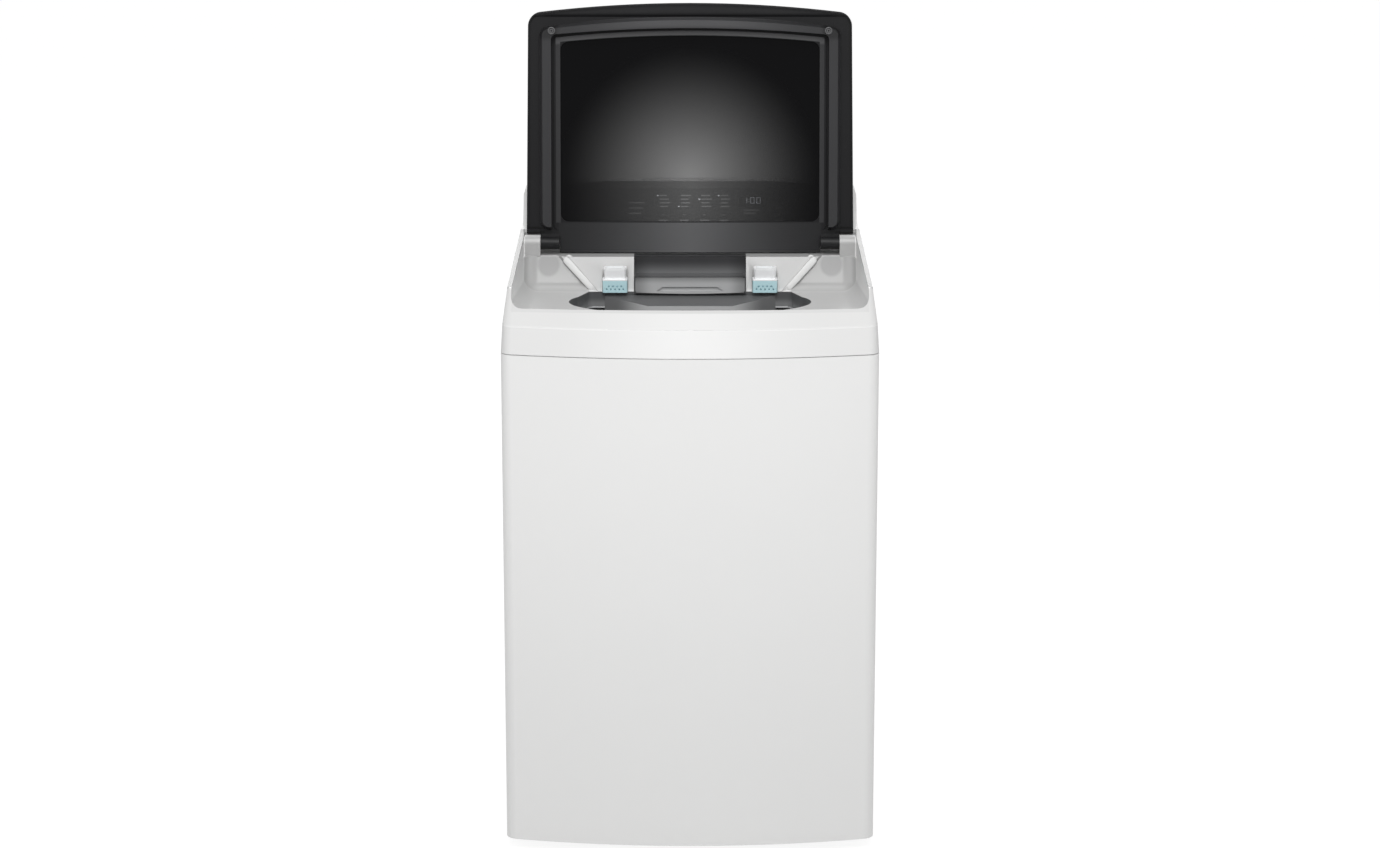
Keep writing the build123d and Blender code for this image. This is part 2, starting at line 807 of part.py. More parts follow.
# Suspension rods with their top heads and bottom washers
with BuildPart() as suspension_rods:
    for x, y in RODS:
        seat = BRACKET_Z + BRACKET_T
        disc(x, y, WASHER_Z - ROD_TAIL, seat + ROD_HEAD_H + ROD_PROUD, ROD_R)
        disc(x, y, seat, seat + ROD_HEAD_H, ROD_HEAD_R)
        disc(x, y, WASHER_Z - WASHER_T, WASHER_Z, SPRING_R - CUT)
suspension_rods.part.label = "suspension_rods"
export_step(suspension_rods.part, "parts/suspension_rods.step")

# Springs inside the bells, drawn as their coil envelope
with BuildPart() as suspension_springs:
    for x, y in RODS:
        ring(x, y, WASHER_Z, LUG_Z - BELL_WALL + CUT, SPRING_R, SPRING_BORE)
suspension_springs.part.label = "suspension_springs"
export_step(suspension_springs.part, "parts/suspension_springs.step")

# Bells that rest under the tub lugs
with BuildPart() as spring_bells:
    for x, y in RODS:
        disc(x, y, BELL_Z0, LUG_Z, BELL_R)
        disc(x, y, BELL_Z0, LUG_Z - BELL_WALL + CUT, BELL_R - BELL_WALL, Mode.SUBTRACT)
        disc(x, y, BELL_Z0, LUG_Z, ROD_R + ROD_ROOM, Mode.SUBTRACT)
spring_bells.part.label = "spring_bells"
export_step(spring_bells.part, "parts/spring_bells.step")

# Outer tub with lugs, floor ribs, hub and sump port
with BuildPart() as outer_tub:
    disc(0, AXIS_Y, TUB_Z0, TUB_Z1, TUB_R)
    disc(0, AXIS_Y, TUB_Z0 + TUB_FLOOR, TUB_Z1, TUB_R - TUB_WALL, Mode.SUBTRACT)
    ring(0, AXIS_Y, TUB_Z1 - TUB_RIM, TUB_Z1, TUB_R + TUB_RIM, TUB_R - TUB_WALL / 2)
    for x, y in RODS:
        with BuildSketch(Plane.XY.offset(LUG_Z)) as lug:
            with BuildLine():
                reach = hypot(x, y - AXIS_Y)
                dx = x / reach
                dy = (y - AXIS_Y) / reach
                near = TUB_R - TUB_WALL / 2
                far = reach + LUG_END
                Polyline(
                    (near * dx - LUG_ROOT * dy, AXIS_Y + near * dy + LUG_ROOT * dx),
                    (far * dx - LUG_TIP * dy, AXIS_Y + far * dy + LUG_TIP * dx),
                    (far * dx + LUG_TIP * dy, AXIS_Y + far * dy - LUG_TIP * dx),
                    (near * dx + LUG_ROOT * dy, AXIS_Y + near * dy - LUG_ROOT * dx),
                    close=True,
                )
            make_face()
            with Locations((x, y)):
                Circle(ROD_R + ROD_ROOM, mode=Mode.SUBTRACT)
        extrude(amount=LUG_T)
    disc(0, AXIS_Y, TUB_Z0, TUB_Z0 + TUB_FLOOR, TUB_R - TUB_WALL / 2)
    hub_z0 = PLATE_Z + PLATE_T
    disc(0, AXIS_Y, hub_z0, HUB_Z1, BEARING_R + HUB_WALL)
    spokes(0, AXIS_Y, hub_z0, TUB_Z0 + CUT, 12, RIB_MID, RIB_LEN, TUB_FLOOR, 15)
    disc(SUMP_X, SUMP_Y, TUB_Z0 - SUMP_DROP, TUB_Z0 + TUB_FLOOR / 2, SUMP_R)
    port_z = TUB_Z0 - SUMP_DROP - CUT
    disc(SUMP_X, SUMP_Y, port_z, TUB_Z0 + TUB_FLOOR + CUT, SUMP_R - SUMP_WALL, Mode.SUBTRACT)
    disc(0, AXIS_Y, PLATE_Z, HUB_Z1 + CUT, BEARING_R, Mode.SUBTRACT)
outer_tub.part.label = "outer_tub"
export_step(outer_tub.part, "parts/outer_tub.step")

# Ring that closes the gap between tub and basket
with BuildPart() as tub_ring:
    deck_z = TUB_Z1 + TUB_RIM
    deck_top = deck_z + RING_T
    ring(0, AXIS_Y, TUB_Z1, deck_top, TUB_R + TUB_RIM - CUT, TUB_R - TUB_RIM)
    ring(0, AXIS_Y, deck_z, deck_top, TUB_R - RING_T, RING_INNER)
    ring(0, AXIS_Y, deck_z + RING_T / 2, deck_z + RING_T / 2 + RING_LIP, RING_INNER + RING_T, RING_INNER)
tub_ring.part.label = "tub_ring"
export_step(tub_ring.part, "parts/tub_ring.step")

# Steel plate that carries gearbox and motor under the tub
with BuildPart() as tub_bracket:
    with BuildSketch(Plane.XY.offset(PLATE_Z)) as plate:
        with BuildLine():
            Polyline(
                (PLATE_LEFT, PLATE_FRONT),
                (MOTOR_X, PLATE_FRONT),
                (PLATE_RIGHT, PLATE_TURN),
                (PLATE_RIGHT, PLATE_BACK),
                (PLATE_WAIST, PLATE_BACK),
                (PLATE_LEFT, PLATE_TURN),
                close=True,
            )
        make_face()
        fillet(plate.vertices(), PLATE_R)
        with Locations((0, AXIS_Y)):
            Circle(BEARING_R + HUB_WALL + HUB_ROOM, mode=Mode.SUBTRACT)
    extrude(amount=PLATE_T)
tub_bracket.part.label = "tub_bracket"
export_step(tub_bracket.part, "parts/tub_bracket.step")

# Bearing and lip seal of the spin tube
with BuildPart() as tub_bearing:
    ring(0, AXIS_Y, hub_z0, hub_z0 + BEARING_H, BEARING_R, SPIN_R + RUN)
tub_bearing.part.label = "tub_bearing"
export_step(tub_bearing.part, "parts/tub_bearing.step")

with BuildPart() as shaft_seal:
    ring(0, AXIS_Y, hub_z0 + BEARING_H + CUT, HUB_Z1, BEARING_R, SPIN_R + RUN)
shaft_seal.part.label = "shaft_seal"
export_step(shaft_seal.part, "parts/shaft_seal.step")

# Gearbox with its flange, cooling ribs and bores for three shafts
with BuildPart() as gearbox:
    disc(0, AXIS_Y, GEAR_Z0, PLATE_Z, GEAR_R)
    disc(0, AXIS_Y, PLATE_Z - GEAR_FLANGE_T, PLATE_Z, GEAR_FLANGE_R)
    disc(0, AXIS_Y, GEAR_Z0 - GEAR_NOSE, GEAR_Z0, GEAR_NOSE_R)
    rib_top = PLATE_Z - GEAR_FLANGE_T
    ribs = (GEAR_RIBS, GEAR_R + GEAR_RIB_OUT, GEAR_RIB, GEAR_RIB_T)
    spokes(0, AXIS_Y, GEAR_Z0 + GEAR_FOOT, rib_top, *ribs)
    bore_top = INPUT_TOP + INPUT_END
    disc(0, AXIS_Y, GEAR_Z0 - GEAR_NOSE - CUT, bore_top, INPUT_R + RUN, Mode.SUBTRACT)
    disc(0, AXIS_Y, SPIN_Z0 - SPIN_END, PLATE_Z, SPIN_R + RUN, Mode.SUBTRACT)
gearbox.part.label = "gearbox"
export_step(gearbox.part, "parts/gearbox.step")

# Spin tube and basket hub
with BuildPart() as spin_tube:
    ring(0, AXIS_Y, SPIN_Z0, BASKET_Z0 + SPIN_PROUD, SPIN_R, WASH_R + RUN)
spin_tube.part.label = "spin_tube"
export_step(spin_tube.part, "parts/spin_tube.step")

with BuildPart() as basket_hub:
    disc(0, AXIS_Y, HUB_Z1 + CUT, BASKET_Z0, HUB_R)
    arm_r0 = HUB_R - ARM_LAP
    arm_r1 = BASKET_R - ARM_IN
    arm = ((arm_r0 + arm_r1) / 2, arm_r1 - arm_r0)
    spokes(0, AXIS_Y, HUB_Z1 + CUT, BASKET_Z0, 3, *arm, ARM_W, 30)
    disc(0, AXIS_Y, HUB_Z1, BASKET_Z0 + CUT, SPIN_R, Mode.SUBTRACT)
basket_hub.part.label = "basket_hub"
export_step(basket_hub.part, "parts/basket_hub.step")

# Stainless basket with a drained floor and rolled beads
with BuildPart() as wash_basket:
    floor_top = BASKET_Z0 + BASKET_FLOOR
    disc(0, AXIS_Y, BASKET_Z0, BASKET_Z1, BASKET_R)
    disc(0, AXIS_Y, floor_top, BASKET_Z1, BASKET_R - BASKET_WALL, Mode.SUBTRACT)
    for z in ROLL_ZS:
        ring(0, AXIS_Y, z, z + ROLL_H, BASKET_R + ROLL_OUT, BASKET_R - BASKET_WALL)
    disc(0, AXIS_Y, BASKET_Z0 - CUT, floor_top + CUT, SPIN_R, Mode.SUBTRACT)
    with BuildSketch(Plane.XY.offset(BASKET_Z0)):
        with Locations((0, AXIS_Y)):
            with PolarLocations(BASKET_R - DRAIN_SLOT_IN, 8):
                SlotOverall(DRAIN_SLOT_L, DRAIN_SLOT_W, rotation=90)
    extrude(amount=BASKET_FLOOR + CUT, mode=Mode.SUBTRACT)
wash_basket.part.label = "wash_basket"
export_step(wash_basket.part, "parts/wash_basket.step")

# Balance ring on the basket mouth
with BuildPart() as balance_ring:
    balance_in = RING_INNER + BALANCE_BACK
    with BuildSketch(Plane((0, AXIS_Y, 0), (1, 0, 0), (0, -1, 0))) as section:
        with BuildLine():
            Polyline(
                (balance_in, BASKET_Z1 + BALANCE_EDGE),
                (balance_in + BALANCE_EDGE, BASKET_Z1),
                (BALANCE_R, BASKET_Z1),
                (BALANCE_R, BALANCE_Z1 - BALANCE_EDGE),
                (BALANCE_R - BALANCE_EDGE, BALANCE_Z1),
                (balance_in + BALANCE_MOUTH, BALANCE_Z1),
                (balance_in, BALANCE_Z1 - BALANCE_MOUTH),
                close=True,
            )
        make_face()
    revolve(axis=Axis((0, AXIS_Y, 0), (0, 0, 1)))
balance_ring.part.label = "balance_ring"
export_step(balance_ring.part, "parts/balance_ring.step")

# Pulsator: a dished plate with a dome and six fins
with BuildPart() as pulsator:
    edge_z = PULSATOR_Z + PULSATOR_EDGE
    dome_z = PULSATOR_Z + PULSATOR_DOME
    with BuildSketch(Plane((0, AXIS_Y, 0), (1, 0, 0), (0, -1, 0))):
        with BuildLine():
            Polyline((0, PULSATOR_Z), (PULSATOR_R, PULSATOR_Z), (PULSATOR_R, edge_z))
            Spline(
                (PULSATOR_R, edge_z),
                (PULSATOR_R * 2 / 3, edge_z + PULSATOR_EDGE / 2),
                (PULSATOR_R / 3, dome_z - PULSATOR_SAG),
                (0, dome_z),
                tangents=((-1, 0), (-1, 0)),
            )
            Line((0, dome_z), (0, PULSATOR_Z))
        make_face()
    revolve(axis=Axis((0, AXIS_Y, 0), (0, 0, 1)))
    with BuildSketch(Plane.XY.offset(PULSATOR_Z + CUT)):
        with Locations((0, AXIS_Y)):
            with PolarLocations(PULSATOR_R - FIN_LEN / 2 - FIN_IN, FINS):
                SlotOverall(FIN_LEN, FIN_W)
    extrude(amount=FIN_H - CUT, taper=FIN_DRAFT)
    cap_top = PULSATOR_Z + FIN_H + CAP_H
    disc(0, AXIS_Y, PULSATOR_Z + CAP_Z0, cap_top, CAP_R + CAP_ROOM, Mode.SUBTRACT)
    disc(0, AXIS_Y, PULSATOR_Z - CUT, PULSATOR_Z + CAP_Z0 - CAP_H, WASH_R, Mode.SUBTRACT)
pulsator.part.label = "pulsator"
export_step(pulsator.part, "parts/pulsator.step")

with BuildPart() as pulsator_cap:
    disc(0, AXIS_Y, PULSATOR_Z + CAP_Z0, PULSATOR_Z + CAP_Z0 + CAP_H, CAP_R)
    fillet(pulsator_cap.edges().group_by(Axis.Z)[-1], CAP_H / 2)
pulsator_cap.part.label = "pulsator_cap"
export_step(pulsator_cap.part, "parts/pulsator_cap.step")

with BuildPart() as wash_shaft:
    disc(0, AXIS_Y, WASH_Z0, PULSATOR_Z + CAP_Z0 - CAP_H, WASH_R)
wash_shaft.part.label = "wash_shaft"
export_step(wash_shaft.part, "parts/wash_shaft.step")

# Drive: input shaft, driven pulley, motor pulley on its shaft, belt and motor
with BuildPart() as input_shaft:
    disc(0, AXIS_Y, PULLEY_Z - SHAFT_END, INPUT_TOP, INPUT_R)
input_shaft.part.label = "input_shaft"
export_step(input_shaft.part, "parts/input_shaft.step")

with BuildPart() as driven_pulley:
    pulley_top = PULLEY_Z + PULLEY_H
    spoke_z = PULLEY_Z + (PULLEY_H - SPOKE_H) / 2
    spoke = DRIVEN_R - PULLEY_RIM - PULLEY_HUB_R
    ring(0, AXIS_Y, PULLEY_Z, pulley_top, DRIVEN_R, DRIVEN_R - PULLEY_RIM)
    ring(0, AXIS_Y, PULLEY_Z, pulley_top, PULLEY_HUB_R, INPUT_R)
    arms = (PULLEY_SPOKES, PULLEY_HUB_R + spoke / 2, spoke + SPOKE_LAP, SPOKE_W)
    spokes(0, AXIS_Y, spoke_z, spoke_z + SPOKE_H, *arms)
    ring(0, AXIS_Y, GROOVE_Z0, GROOVE_Z1, DRIVEN_R + CUT, DRIVEN_R - GROOVE, Mode.SUBTRACT)
    disc(0, AXIS_Y, PULLEY_Z - CUT, pulley_top + CUT, INPUT_R, Mode.SUBTRACT)
driven_pulley.part.label = "driven_pulley"
export_step(driven_pulley.part, "parts/driven_pulley.step")

with BuildPart() as motor_pulley:
    groove_r = MOTOR_PULLEY_R - GROOVE
    disc(MOTOR_X, MOTOR_Y, PULLEY_Z, pulley_top, MOTOR_PULLEY_R)
    disc(MOTOR_X, MOTOR_Y, PULLEY_Z - SHAFT_END, MOTOR_SHAFT_TOP, MOTOR_SHAFT_R)
    ring(MOTOR_X, MOTOR_Y, GROOVE_Z0, GROOVE_Z1, MOTOR_PULLEY_R + CUT, groove_r, Mode.SUBTRACT)
motor_pulley.part.label = "motor_pulley"
export_step(motor_pulley.part, "parts/motor_pulley.step")


def belt_line(r_big, r_small, mode):
    """Solid bounded by the open belt line round two circles of the drive."""
    span = hypot(MOTOR_X, MOTOR_Y - AXIS_Y)
    along = atan2(MOTOR_Y - AXIS_Y, MOTOR_X)
    lift = acos((r_big - r_small) / span)
    ends = []
    for cx, cy, r in ((0, AXIS_Y, r_big), (MOTOR_X, MOTOR_Y, r_small)):
        for turn in (lift, -lift):
            ends.append((cx + r * cos(along + turn), cy + r * sin(along + turn)))
    back = (-r_big * cos(along), AXIS_Y - r_big * sin(along))
    tip = (MOTOR_X + r_small * cos(along), MOTOR_Y + r_small * sin(along))
    with BuildSketch(Plane.XY.offset(GROOVE_Z0 + CUT)) as sketch:
        with BuildLine():
            ThreePointArc(ends[0], back, ends[1])
            Line(ends[1], ends[3])
            ThreePointArc(ends[3], tip, ends[2])
            Line(ends[2], ends[0])
        make_face()
    extrude(sketch.sketch, amount=GROOVE_Z1 - GROOVE_Z0 - 2 * CUT, mode=mode)


with BuildPart() as drive_belt:
    seat = SLIP - GROOVE
    belt_line(DRIVEN_R + seat + BELT_T, MOTOR_PULLEY_R + seat + BELT_T, Mode.ADD)
    belt_line(DRIVEN_R + seat, MOTOR_PULLEY_R + seat, Mode.SUBTRACT)
drive_belt.part.label = "drive_belt"
export_step(drive_belt.part, "parts/drive_belt.step")

with BuildPart() as motor:
    vent_z = MOTOR_Z0 + (MOTOR_Z1 - MOTOR_Z0 - MOTOR_VENT_H) / 2
    nose_z = MOTOR_Z0 - MOTOR_NOSE
    disc(MOTOR_X, MOTOR_Y, MOTOR_Z0, MOTOR_Z1, MOTOR_R)
    disc(MOTOR_X, MOTOR_Y, MOTOR_Z1, PLATE_Z, MOTOR_R - MOTOR_NECK)
    disc(MOTOR_X, MOTOR_Y, nose_z, MOTOR_Z0, MOTOR_NOSE_R)
    vents = (MOTOR_VENTS, MOTOR_R, MOTOR_NOSE, MOTOR_VENT_W, 0, Mode.SUBTRACT)
    spokes(MOTOR_X, MOTOR_Y, vent_z, vent_z + MOTOR_VENT_H, *vents)
    bore_top = MOTOR_SHAFT_TOP + MOTOR_BORE_END
    disc(MOTOR_X, MOTOR_Y, nose_z - CUT, bore_top, MOTOR_SHAFT_R + RUN, Mode.SUBTRACT)
motor.part.label = "motor"
export_step(motor.part, "parts/motor.step")

# Drain: pump on the base shelf, hose from the sump, pipe to the back
with BuildPart() as drain_pump:
    bore = SUMP_R - SUMP_WALL
    spigot_end = SUMP_Y + SPIGOT_Y
    disc(SUMP_X, SUMP_Y, BASE_WEB_Z + BASE_WALL, PUMP_MID, PUMP_R - PUMP_STEP)
    disc(SUMP_X, SUMP_Y, PUMP_MID, PUMP_TOP, PUMP_R)
    disc(SUMP_X, SUMP_Y, PUMP_TOP, PUMP_TOP + PUMP_NECK, SUMP_R)
    disc(SUMP_X, SUMP_Y, PUMP_TOP - PUMP_NECK, PUMP_TOP + PUMP_NECK + CUT, bore, Mode.SUBTRACT)
    rod_y(DRAIN_X, DRAIN_Z, SUMP_Y, spigot_end, DRAIN_R + SUMP_WALL)
    rod_y(DRAIN_X, DRAIN_Z, spigot_end - SPIGOT_LAP, spigot_end + CUT, DRAIN_R, Mode.SUBTRACT)
drain_pump.part.label = "drain_pump"
export_step(drain_pump.part, "parts/drain_pump.step")

with BuildPart() as sump_hose:
    ring(SUMP_X, SUMP_Y, PUMP_TOP, TUB_Z0 - TUB_FLOOR, SUMP_R + HOSE_WALL, SUMP_R + RUN)
    for step in range(HOSE_FOLDS):
        z = PUMP_TOP + FOLD_Z0 + FOLD_PITCH * step
        ring(SUMP_X, SUMP_Y, z, z + FOLD_H, SUMP_R + FOLD_OUT, SUMP_R + HOSE_WALL / 2)
sump_hose.part.label = "sump_hose"
export_step(sump_hose.part, "parts/sump_hose.step")

with BuildPart() as drain_pipe:
    face = BACK_Y + SHEET
    pipe_y0 = spigot_end - SPIGOT_LAP
    rod_y(DRAIN_X, DRAIN_Z, pipe_y0, REAR_Y, DRAIN_R)
    rod_y(DRAIN_X, DRAIN_Z, face, face + COLLAR_T, DRAIN_R + COLLAR_OUT)
    rod_y(DRAIN_X, DRAIN_Z, pipe_y0 - CUT, REAR_Y + CUT, DRAIN_R - DRAIN_WALL, Mode.SUBTRACT)
drain_pipe.part.label = "drain_pipe"
export_step(drain_pipe.part, "parts/drain_pipe.step")

with BuildPart() as cord_gland:
    rod_y(GLAND_X, GLAND_Z, BACK_Y - GLAND_HEAD_T, face, GLAND_R - RUN)
    rod_y(GLAND_X, GLAND_Z, face, face + GLAND_HEAD_T, GLAND_HEAD_R)
    ends = (BACK_Y - GLAND_HEAD_T - CUT, face + GLAND_HEAD_T + CUT)
    rod_y(GLAND_X, GLAND_Z, *ends, GLAND_BORE, Mode.SUBTRACT)
cord_gland.part.label = "cord_gland"
export_step(cord_gland.part, "parts/cord_gland.step")

# Top cover. The hollow below, the basin above and the bulkhead are its tools.
with BuildPart() as cover_hollow:
    front_y = BASIN_FRONT + FRONT_SOLID
    extrude(inset(CAB_Z1 - CUT, COVER_SKIRT), amount=COVER_BLANK)
    prism(
        SIDE,
        [
            (FRONT_Y, COVER_Z0 - CUT),
            (FRONT_Y, CREASE_Z - CREASE_SOLID),
            (front_y, CREASE_Z - CREASE_SOLID),
            (front_y + COVER_WALL, floor_z(front_y + COVER_WALL) - COVER_WALL),
            (FLOOR_REAR_Y - CUT, floor_z(FLOOR_REAR_Y) - COVER_WALL),
            (FLOOR_REAR_Y + COVER_WALL, FLOOR_REAR_Z - COVER_WALL),
            (REAR_WALL_Y + COVER_WALL, HINGE_DECK_Z - COVER_WALL),
            (DECK_Y + COVER_WALL, HINGE_DECK_Z - COVER_WALL),
            (DECK_Y + COVER_WALL, DECK_Z - COVER_WALL),
            (BACK_Y, DECK_Z - COVER_WALL),
            (BACK_Y, COVER_Z0 - CUT),
        ],
        BASIN_HALF_R - COVER_WALL,
        Mode.INTERSECT,
    )

with BuildPart() as basin:
    with BuildSketch(Plane.XY.offset(COVER_Z0)) as basin_plan:
        with BuildLine():
            ThreePointArc(
                (-BASIN_HALF_F, BASIN_FRONT + BASIN_BOW),
                (0, BASIN_FRONT),
                (BASIN_HALF_F, BASIN_FRONT + BASIN_BOW),
            )
            Polyline(
                (BASIN_HALF_F, BASIN_FRONT + BASIN_BOW),
                (BASIN_HALF_R, DECK_Y),
                (-BASIN_HALF_R, DECK_Y),
                (-BASIN_HALF_F, BASIN_FRONT + BASIN_BOW),
            )
        make_face()
        fillet(basin_plan.vertices().group_by(Axis.Y)[0], BASIN_R)
    extrude(amount=COVER_BLANK)
    prism(
        SIDE,
        [
            (FRONT_Y, floor_z(FRONT_Y)),
            (FLOOR_REAR_Y, FLOOR_REAR_Z),
            (REAR_WALL_Y, HINGE_DECK_Z),
            (DECK_Y + CUT, HINGE_DECK_Z),
            (DECK_Y + CUT, WHOLE),
            (FRONT_Y, WHOLE),
        ],
        HALF_W,
        Mode.INTERSECT,
    )
    wall_mid = ((FLOOR_REAR_Y + REAR_WALL_Y) / 2, (FLOOR_REAR_Z + HINGE_DECK_Z) / 2)
    soft = [basin.edges().sort_by_distance((0, FLOOR_REAR_Y, FLOOR_REAR_Z))[0]]
    for x in (-BASIN_HALF_R, BASIN_HALF_R):
        soft.append(basin.edges().sort_by_distance((x, FLOOR_MID, floor_z(FLOOR_MID)))[0])
        soft.append(basin.edges().sort_by_distance((x, *wall_mid))[0])
    fillet(soft, BASIN_SOFT)

with BuildPart() as bulkhead:
    bulk_foot = BULK_Z - BULK_SINK
    with BuildSketch(BULK_PLANE.offset(-BULK_RIDGE)) as bulk_back:
        with BuildLine():
            Polyline(
                (-BULK_HALF0, -BULK_RIDGE),
                (BULK_HALF0, -BULK_RIDGE),
                (BULK_HALF1, BULK_LEN + BULK_RIDGE),
                (-BULK_HALF1, BULK_LEN + BULK_RIDGE),
                close=True,
            )
        make_face()
    extrude(amount=BULK_RIDGE, taper=45)
    extrude(bulk_back.sketch, amount=-BULK_DEPTH)
    block(-HALF_W, HALF_W, MOUTH_Y, BULK_TOP_Y + BULK_DEPTH, bulk_foot, HINGE_DECK_Z, Mode.INTERSECT)

with BuildPart() as top_cover:
    add(plan(COVER_Z0, HALF_W, FRONT_Y, BOW, BACK_Y, CORNER_R, BACK_R))
    add(plan(CREASE_Z, CREASE_HALF, CREASE_FRONT, BOW, BACK_Y, CREASE_R, BACK_R))
    loft(ruled=True)
    add(plan(CREASE_Z, CREASE_HALF, CREASE_FRONT, BOW, BACK_Y, CREASE_R, BACK_R))
    add(plan(LOFT_Z, LOFT_HALF, LOFT_FRONT, LOFT_BOW, BACK_Y, LOFT_R, BACK_R))
    loft(ruled=True)
    far_front = FRONT_Y - BOW
    prism(
        SIDE,
        [
            (far_front, rim_z(far_front)),
            (HINGE_Y, rim_z(HINGE_Y)),
            (DECK_Y, rim_z(HINGE_Y) + COVER_WALL),
            (DECK_Y, DECK_Z),
            (BACK_Y + CUT, DECK_Z),
            (BACK_Y + CUT, WHOLE),
            (far_front, WHOLE),
        ],
        HALF_W + CUT,
        Mode.SUBTRACT,
    )
    extrude(inset(CAB_Z1, SKIRT_IN), amount=COVER_Z0 - CAB_Z1)
    add(cover_hollow.part, mode=Mode.SUBTRACT)
    extrude(inset(CAB_Z1 - CUT, COVER_SKIRT), amount=COVER_Z0 - CAB_Z1 + CUT, mode=Mode.SUBTRACT)
    extrude(mouth_plan(COLLAR_Z, COVER_WALL), amount=FLOOR_FRONT_Z - COLLAR_Z)
    add(basin.part, mode=Mode.SUBTRACT)
    add(bulkhead.part)
    extrude(mouth_plan(COLLAR_Z - CUT, 0), amount=WHOLE, mode=Mode.SUBTRACT)
    pocket_y = BULK_Y - BULK_DEPTH
    pocket_z = BULK_Z - POCKET_DROP
    block(-POCKET_HALF, POCKET_HALF, pocket_y, DECK_Y, pocket_z, POCKET_TOP, Mode.SUBTRACT)
    block(-POCKET_HALF, POCKET_HALF, pocket_y, HOOD_Y, pocket_z, HINGE_DECK_Z + CUT, Mode.SUBTRACT)
    for side in (-1, 1):
        x0 = side * FILTER_X - FILTER_W / 2 - EASE
        x1 = side * FILTER_X + FILTER_W / 2 + EASE
        block(x0, x1, pocket_y, FILTER_Y1 + EASE, BULK_Z, HINGE_DECK_Z + CUT, Mode.SUBTRACT)
        px0 = side * POST_X0
        px1 = side * (BASIN_HALF_R + CUT)
        block(px0, px1, HINGE_Y - POST_R, HINGE_Y + POST_R, HINGE_DECK_Z - CUT, HINGE_Z)
        rod_x(HINGE_Y, HINGE_Z, px0, px1, POST_R)
        pin_end = side * (PIN_X0 + PIN_LEN + CUT)
        rod_x(HINGE_Y, HINGE_Z, px0 - side, pin_end, PIN_R + RUN, Mode.SUBTRACT)
top_cover.part.label = "top_cover"
export_step(top_cover.part, "parts/top_cover.step")

# Recess of the lid's outer flange, a tool for cutting the lid frame
with BuildPart() as lid_recess:
    flange_z = LID_OUT + LID_SKIN
    extrude(lid_plan(flange_z, LID_EDGE, LID_CORNER - LID_EDGE), amount=LID_DEEP)
    extrude(
        lid_window(flange_z, TRIM_OUT + CUT, -LID_DEEP, TRIM_Y1 + CUT, LID_BOW, TRIM_R, 2),
        amount=LID_DEEP,
        mode=Mode.SUBTRACT,
    )
    prism(
        LID_SIDE,
        [
            (LID_REAR - CUT, flange_z),
            (LID_BEND, flange_z),
            (LID_LEN + CUT, flange_z + BEND_RISE),
            (LID_LEN + CUT, LID_DEEP),
            (LID_REAR - CUT, LID_DEEP),
        ],
        HALF_W,
        Mode.INTERSECT,
    )

# Lid frame: a skin with a turned-down front, a raised core, a groove and a rebate for the glass
with BuildPart() as lid_frame:
    extrude(lid_plan(LID_OUT - CUT, 0, LID_CORNER), amount=LID_DEEP)
    prism(
        LID_SIDE,
        [
            (LID_REAR, LID_CORE),
            (LID_REAR, LID_CORE - CUT),
            (LID_REAR + LID_SKIN + LIP_H, LID_OUT),
            (LID_BEND, LID_OUT),
            (LID_LEN + CUT, LID_OUT + BEND_RISE),
            (LID_LEN + CUT, LID_OUT + BEND_RISE + LID_TUCK),
            (LID_BEND, LID_CORE),
        ],
        HALF_W,
        Mode.INTERSECT,
    )
    add(lid_recess.part, mode=Mode.SUBTRACT)
    extrude(trim_inner(LID_CORE, 0, TRIM_Y0), amount=-GROOVE_DEPTH, mode=Mode.SUBTRACT)
    extrude(trim_inner(LID_CORE, GROOVE_W, TRIM_Y0 - CUT), amount=-GROOVE_DEPTH - CUT)
    extrude(glass_window(LID_OUT - CUT, 0), amount=LID_DEEP, mode=Mode.SUBTRACT)
    extrude(glass_window(LID_OUT - CUT, GLASS_REBATE + SLIP), amount=CUT + GLASS_T, mode=Mode.SUBTRACT)
    prism(
        LID_SIDE,
        [
            (LID_REAR, LID_CORE - CUT),
            (LID_REAR + LIP_H, LID_CORE - CUT),
            (LID_REAR + LIP_H, LID_CORE + LIP_OUT),
            (LID_REAR, LID_CORE + LIP_OUT),
        ],
        BARREL_X0 - SLIP,
    )
    for side in (-1, 1):
        x0 = side * TRIM_OUT
        x1 = side * (LID_HALF_R - LID_EDGE / 2)
        lid_block(x0, x1, NOTCH_Y, NOTCH_Y + FOOT_STEP, flange_z - CUT, FOOT_TOP)
        notch = (side * (BARREL_X0 - SLIP), side * (LID_HALF_R + CUT))
        lid_block(*notch, LID_REAR - CUT, NOTCH_Y, LID_OUT - CUT, LID_DEEP, Mode.SUBTRACT)
lid_frame.part.label = "lid_frame"
export_step(lid_frame.part, "parts/lid_frame.step")

# Tinted glass in its rebate
with BuildPart() as lid_glass:
    extrude(glass_window(LID_OUT, GLASS_REBATE), amount=GLASS_T)
lid_glass.part.label = "lid_glass"
export_step(lid_glass.part, "parts/lid_glass.step")

# Inner trim: a bevelled bow over the sides and front of the glass
with BuildPart() as lid_trim:
    extrude(
        lid_window(LID_CORE, TRIM_OUT, TRIM_Y0, TRIM_Y1, LID_BOW, TRIM_R, 2),
        amount=TRIM_TOP - LID_CORE,
        taper=TRIM_BEVEL,
    )
    extrude(trim_inner(LID_CORE, 0, -LID_DEEP), amount=LID_DEEP, mode=Mode.SUBTRACT)
lid_trim.part.label = "lid_trim"
export_step(lid_trim.part, "parts/lid_trim.step")

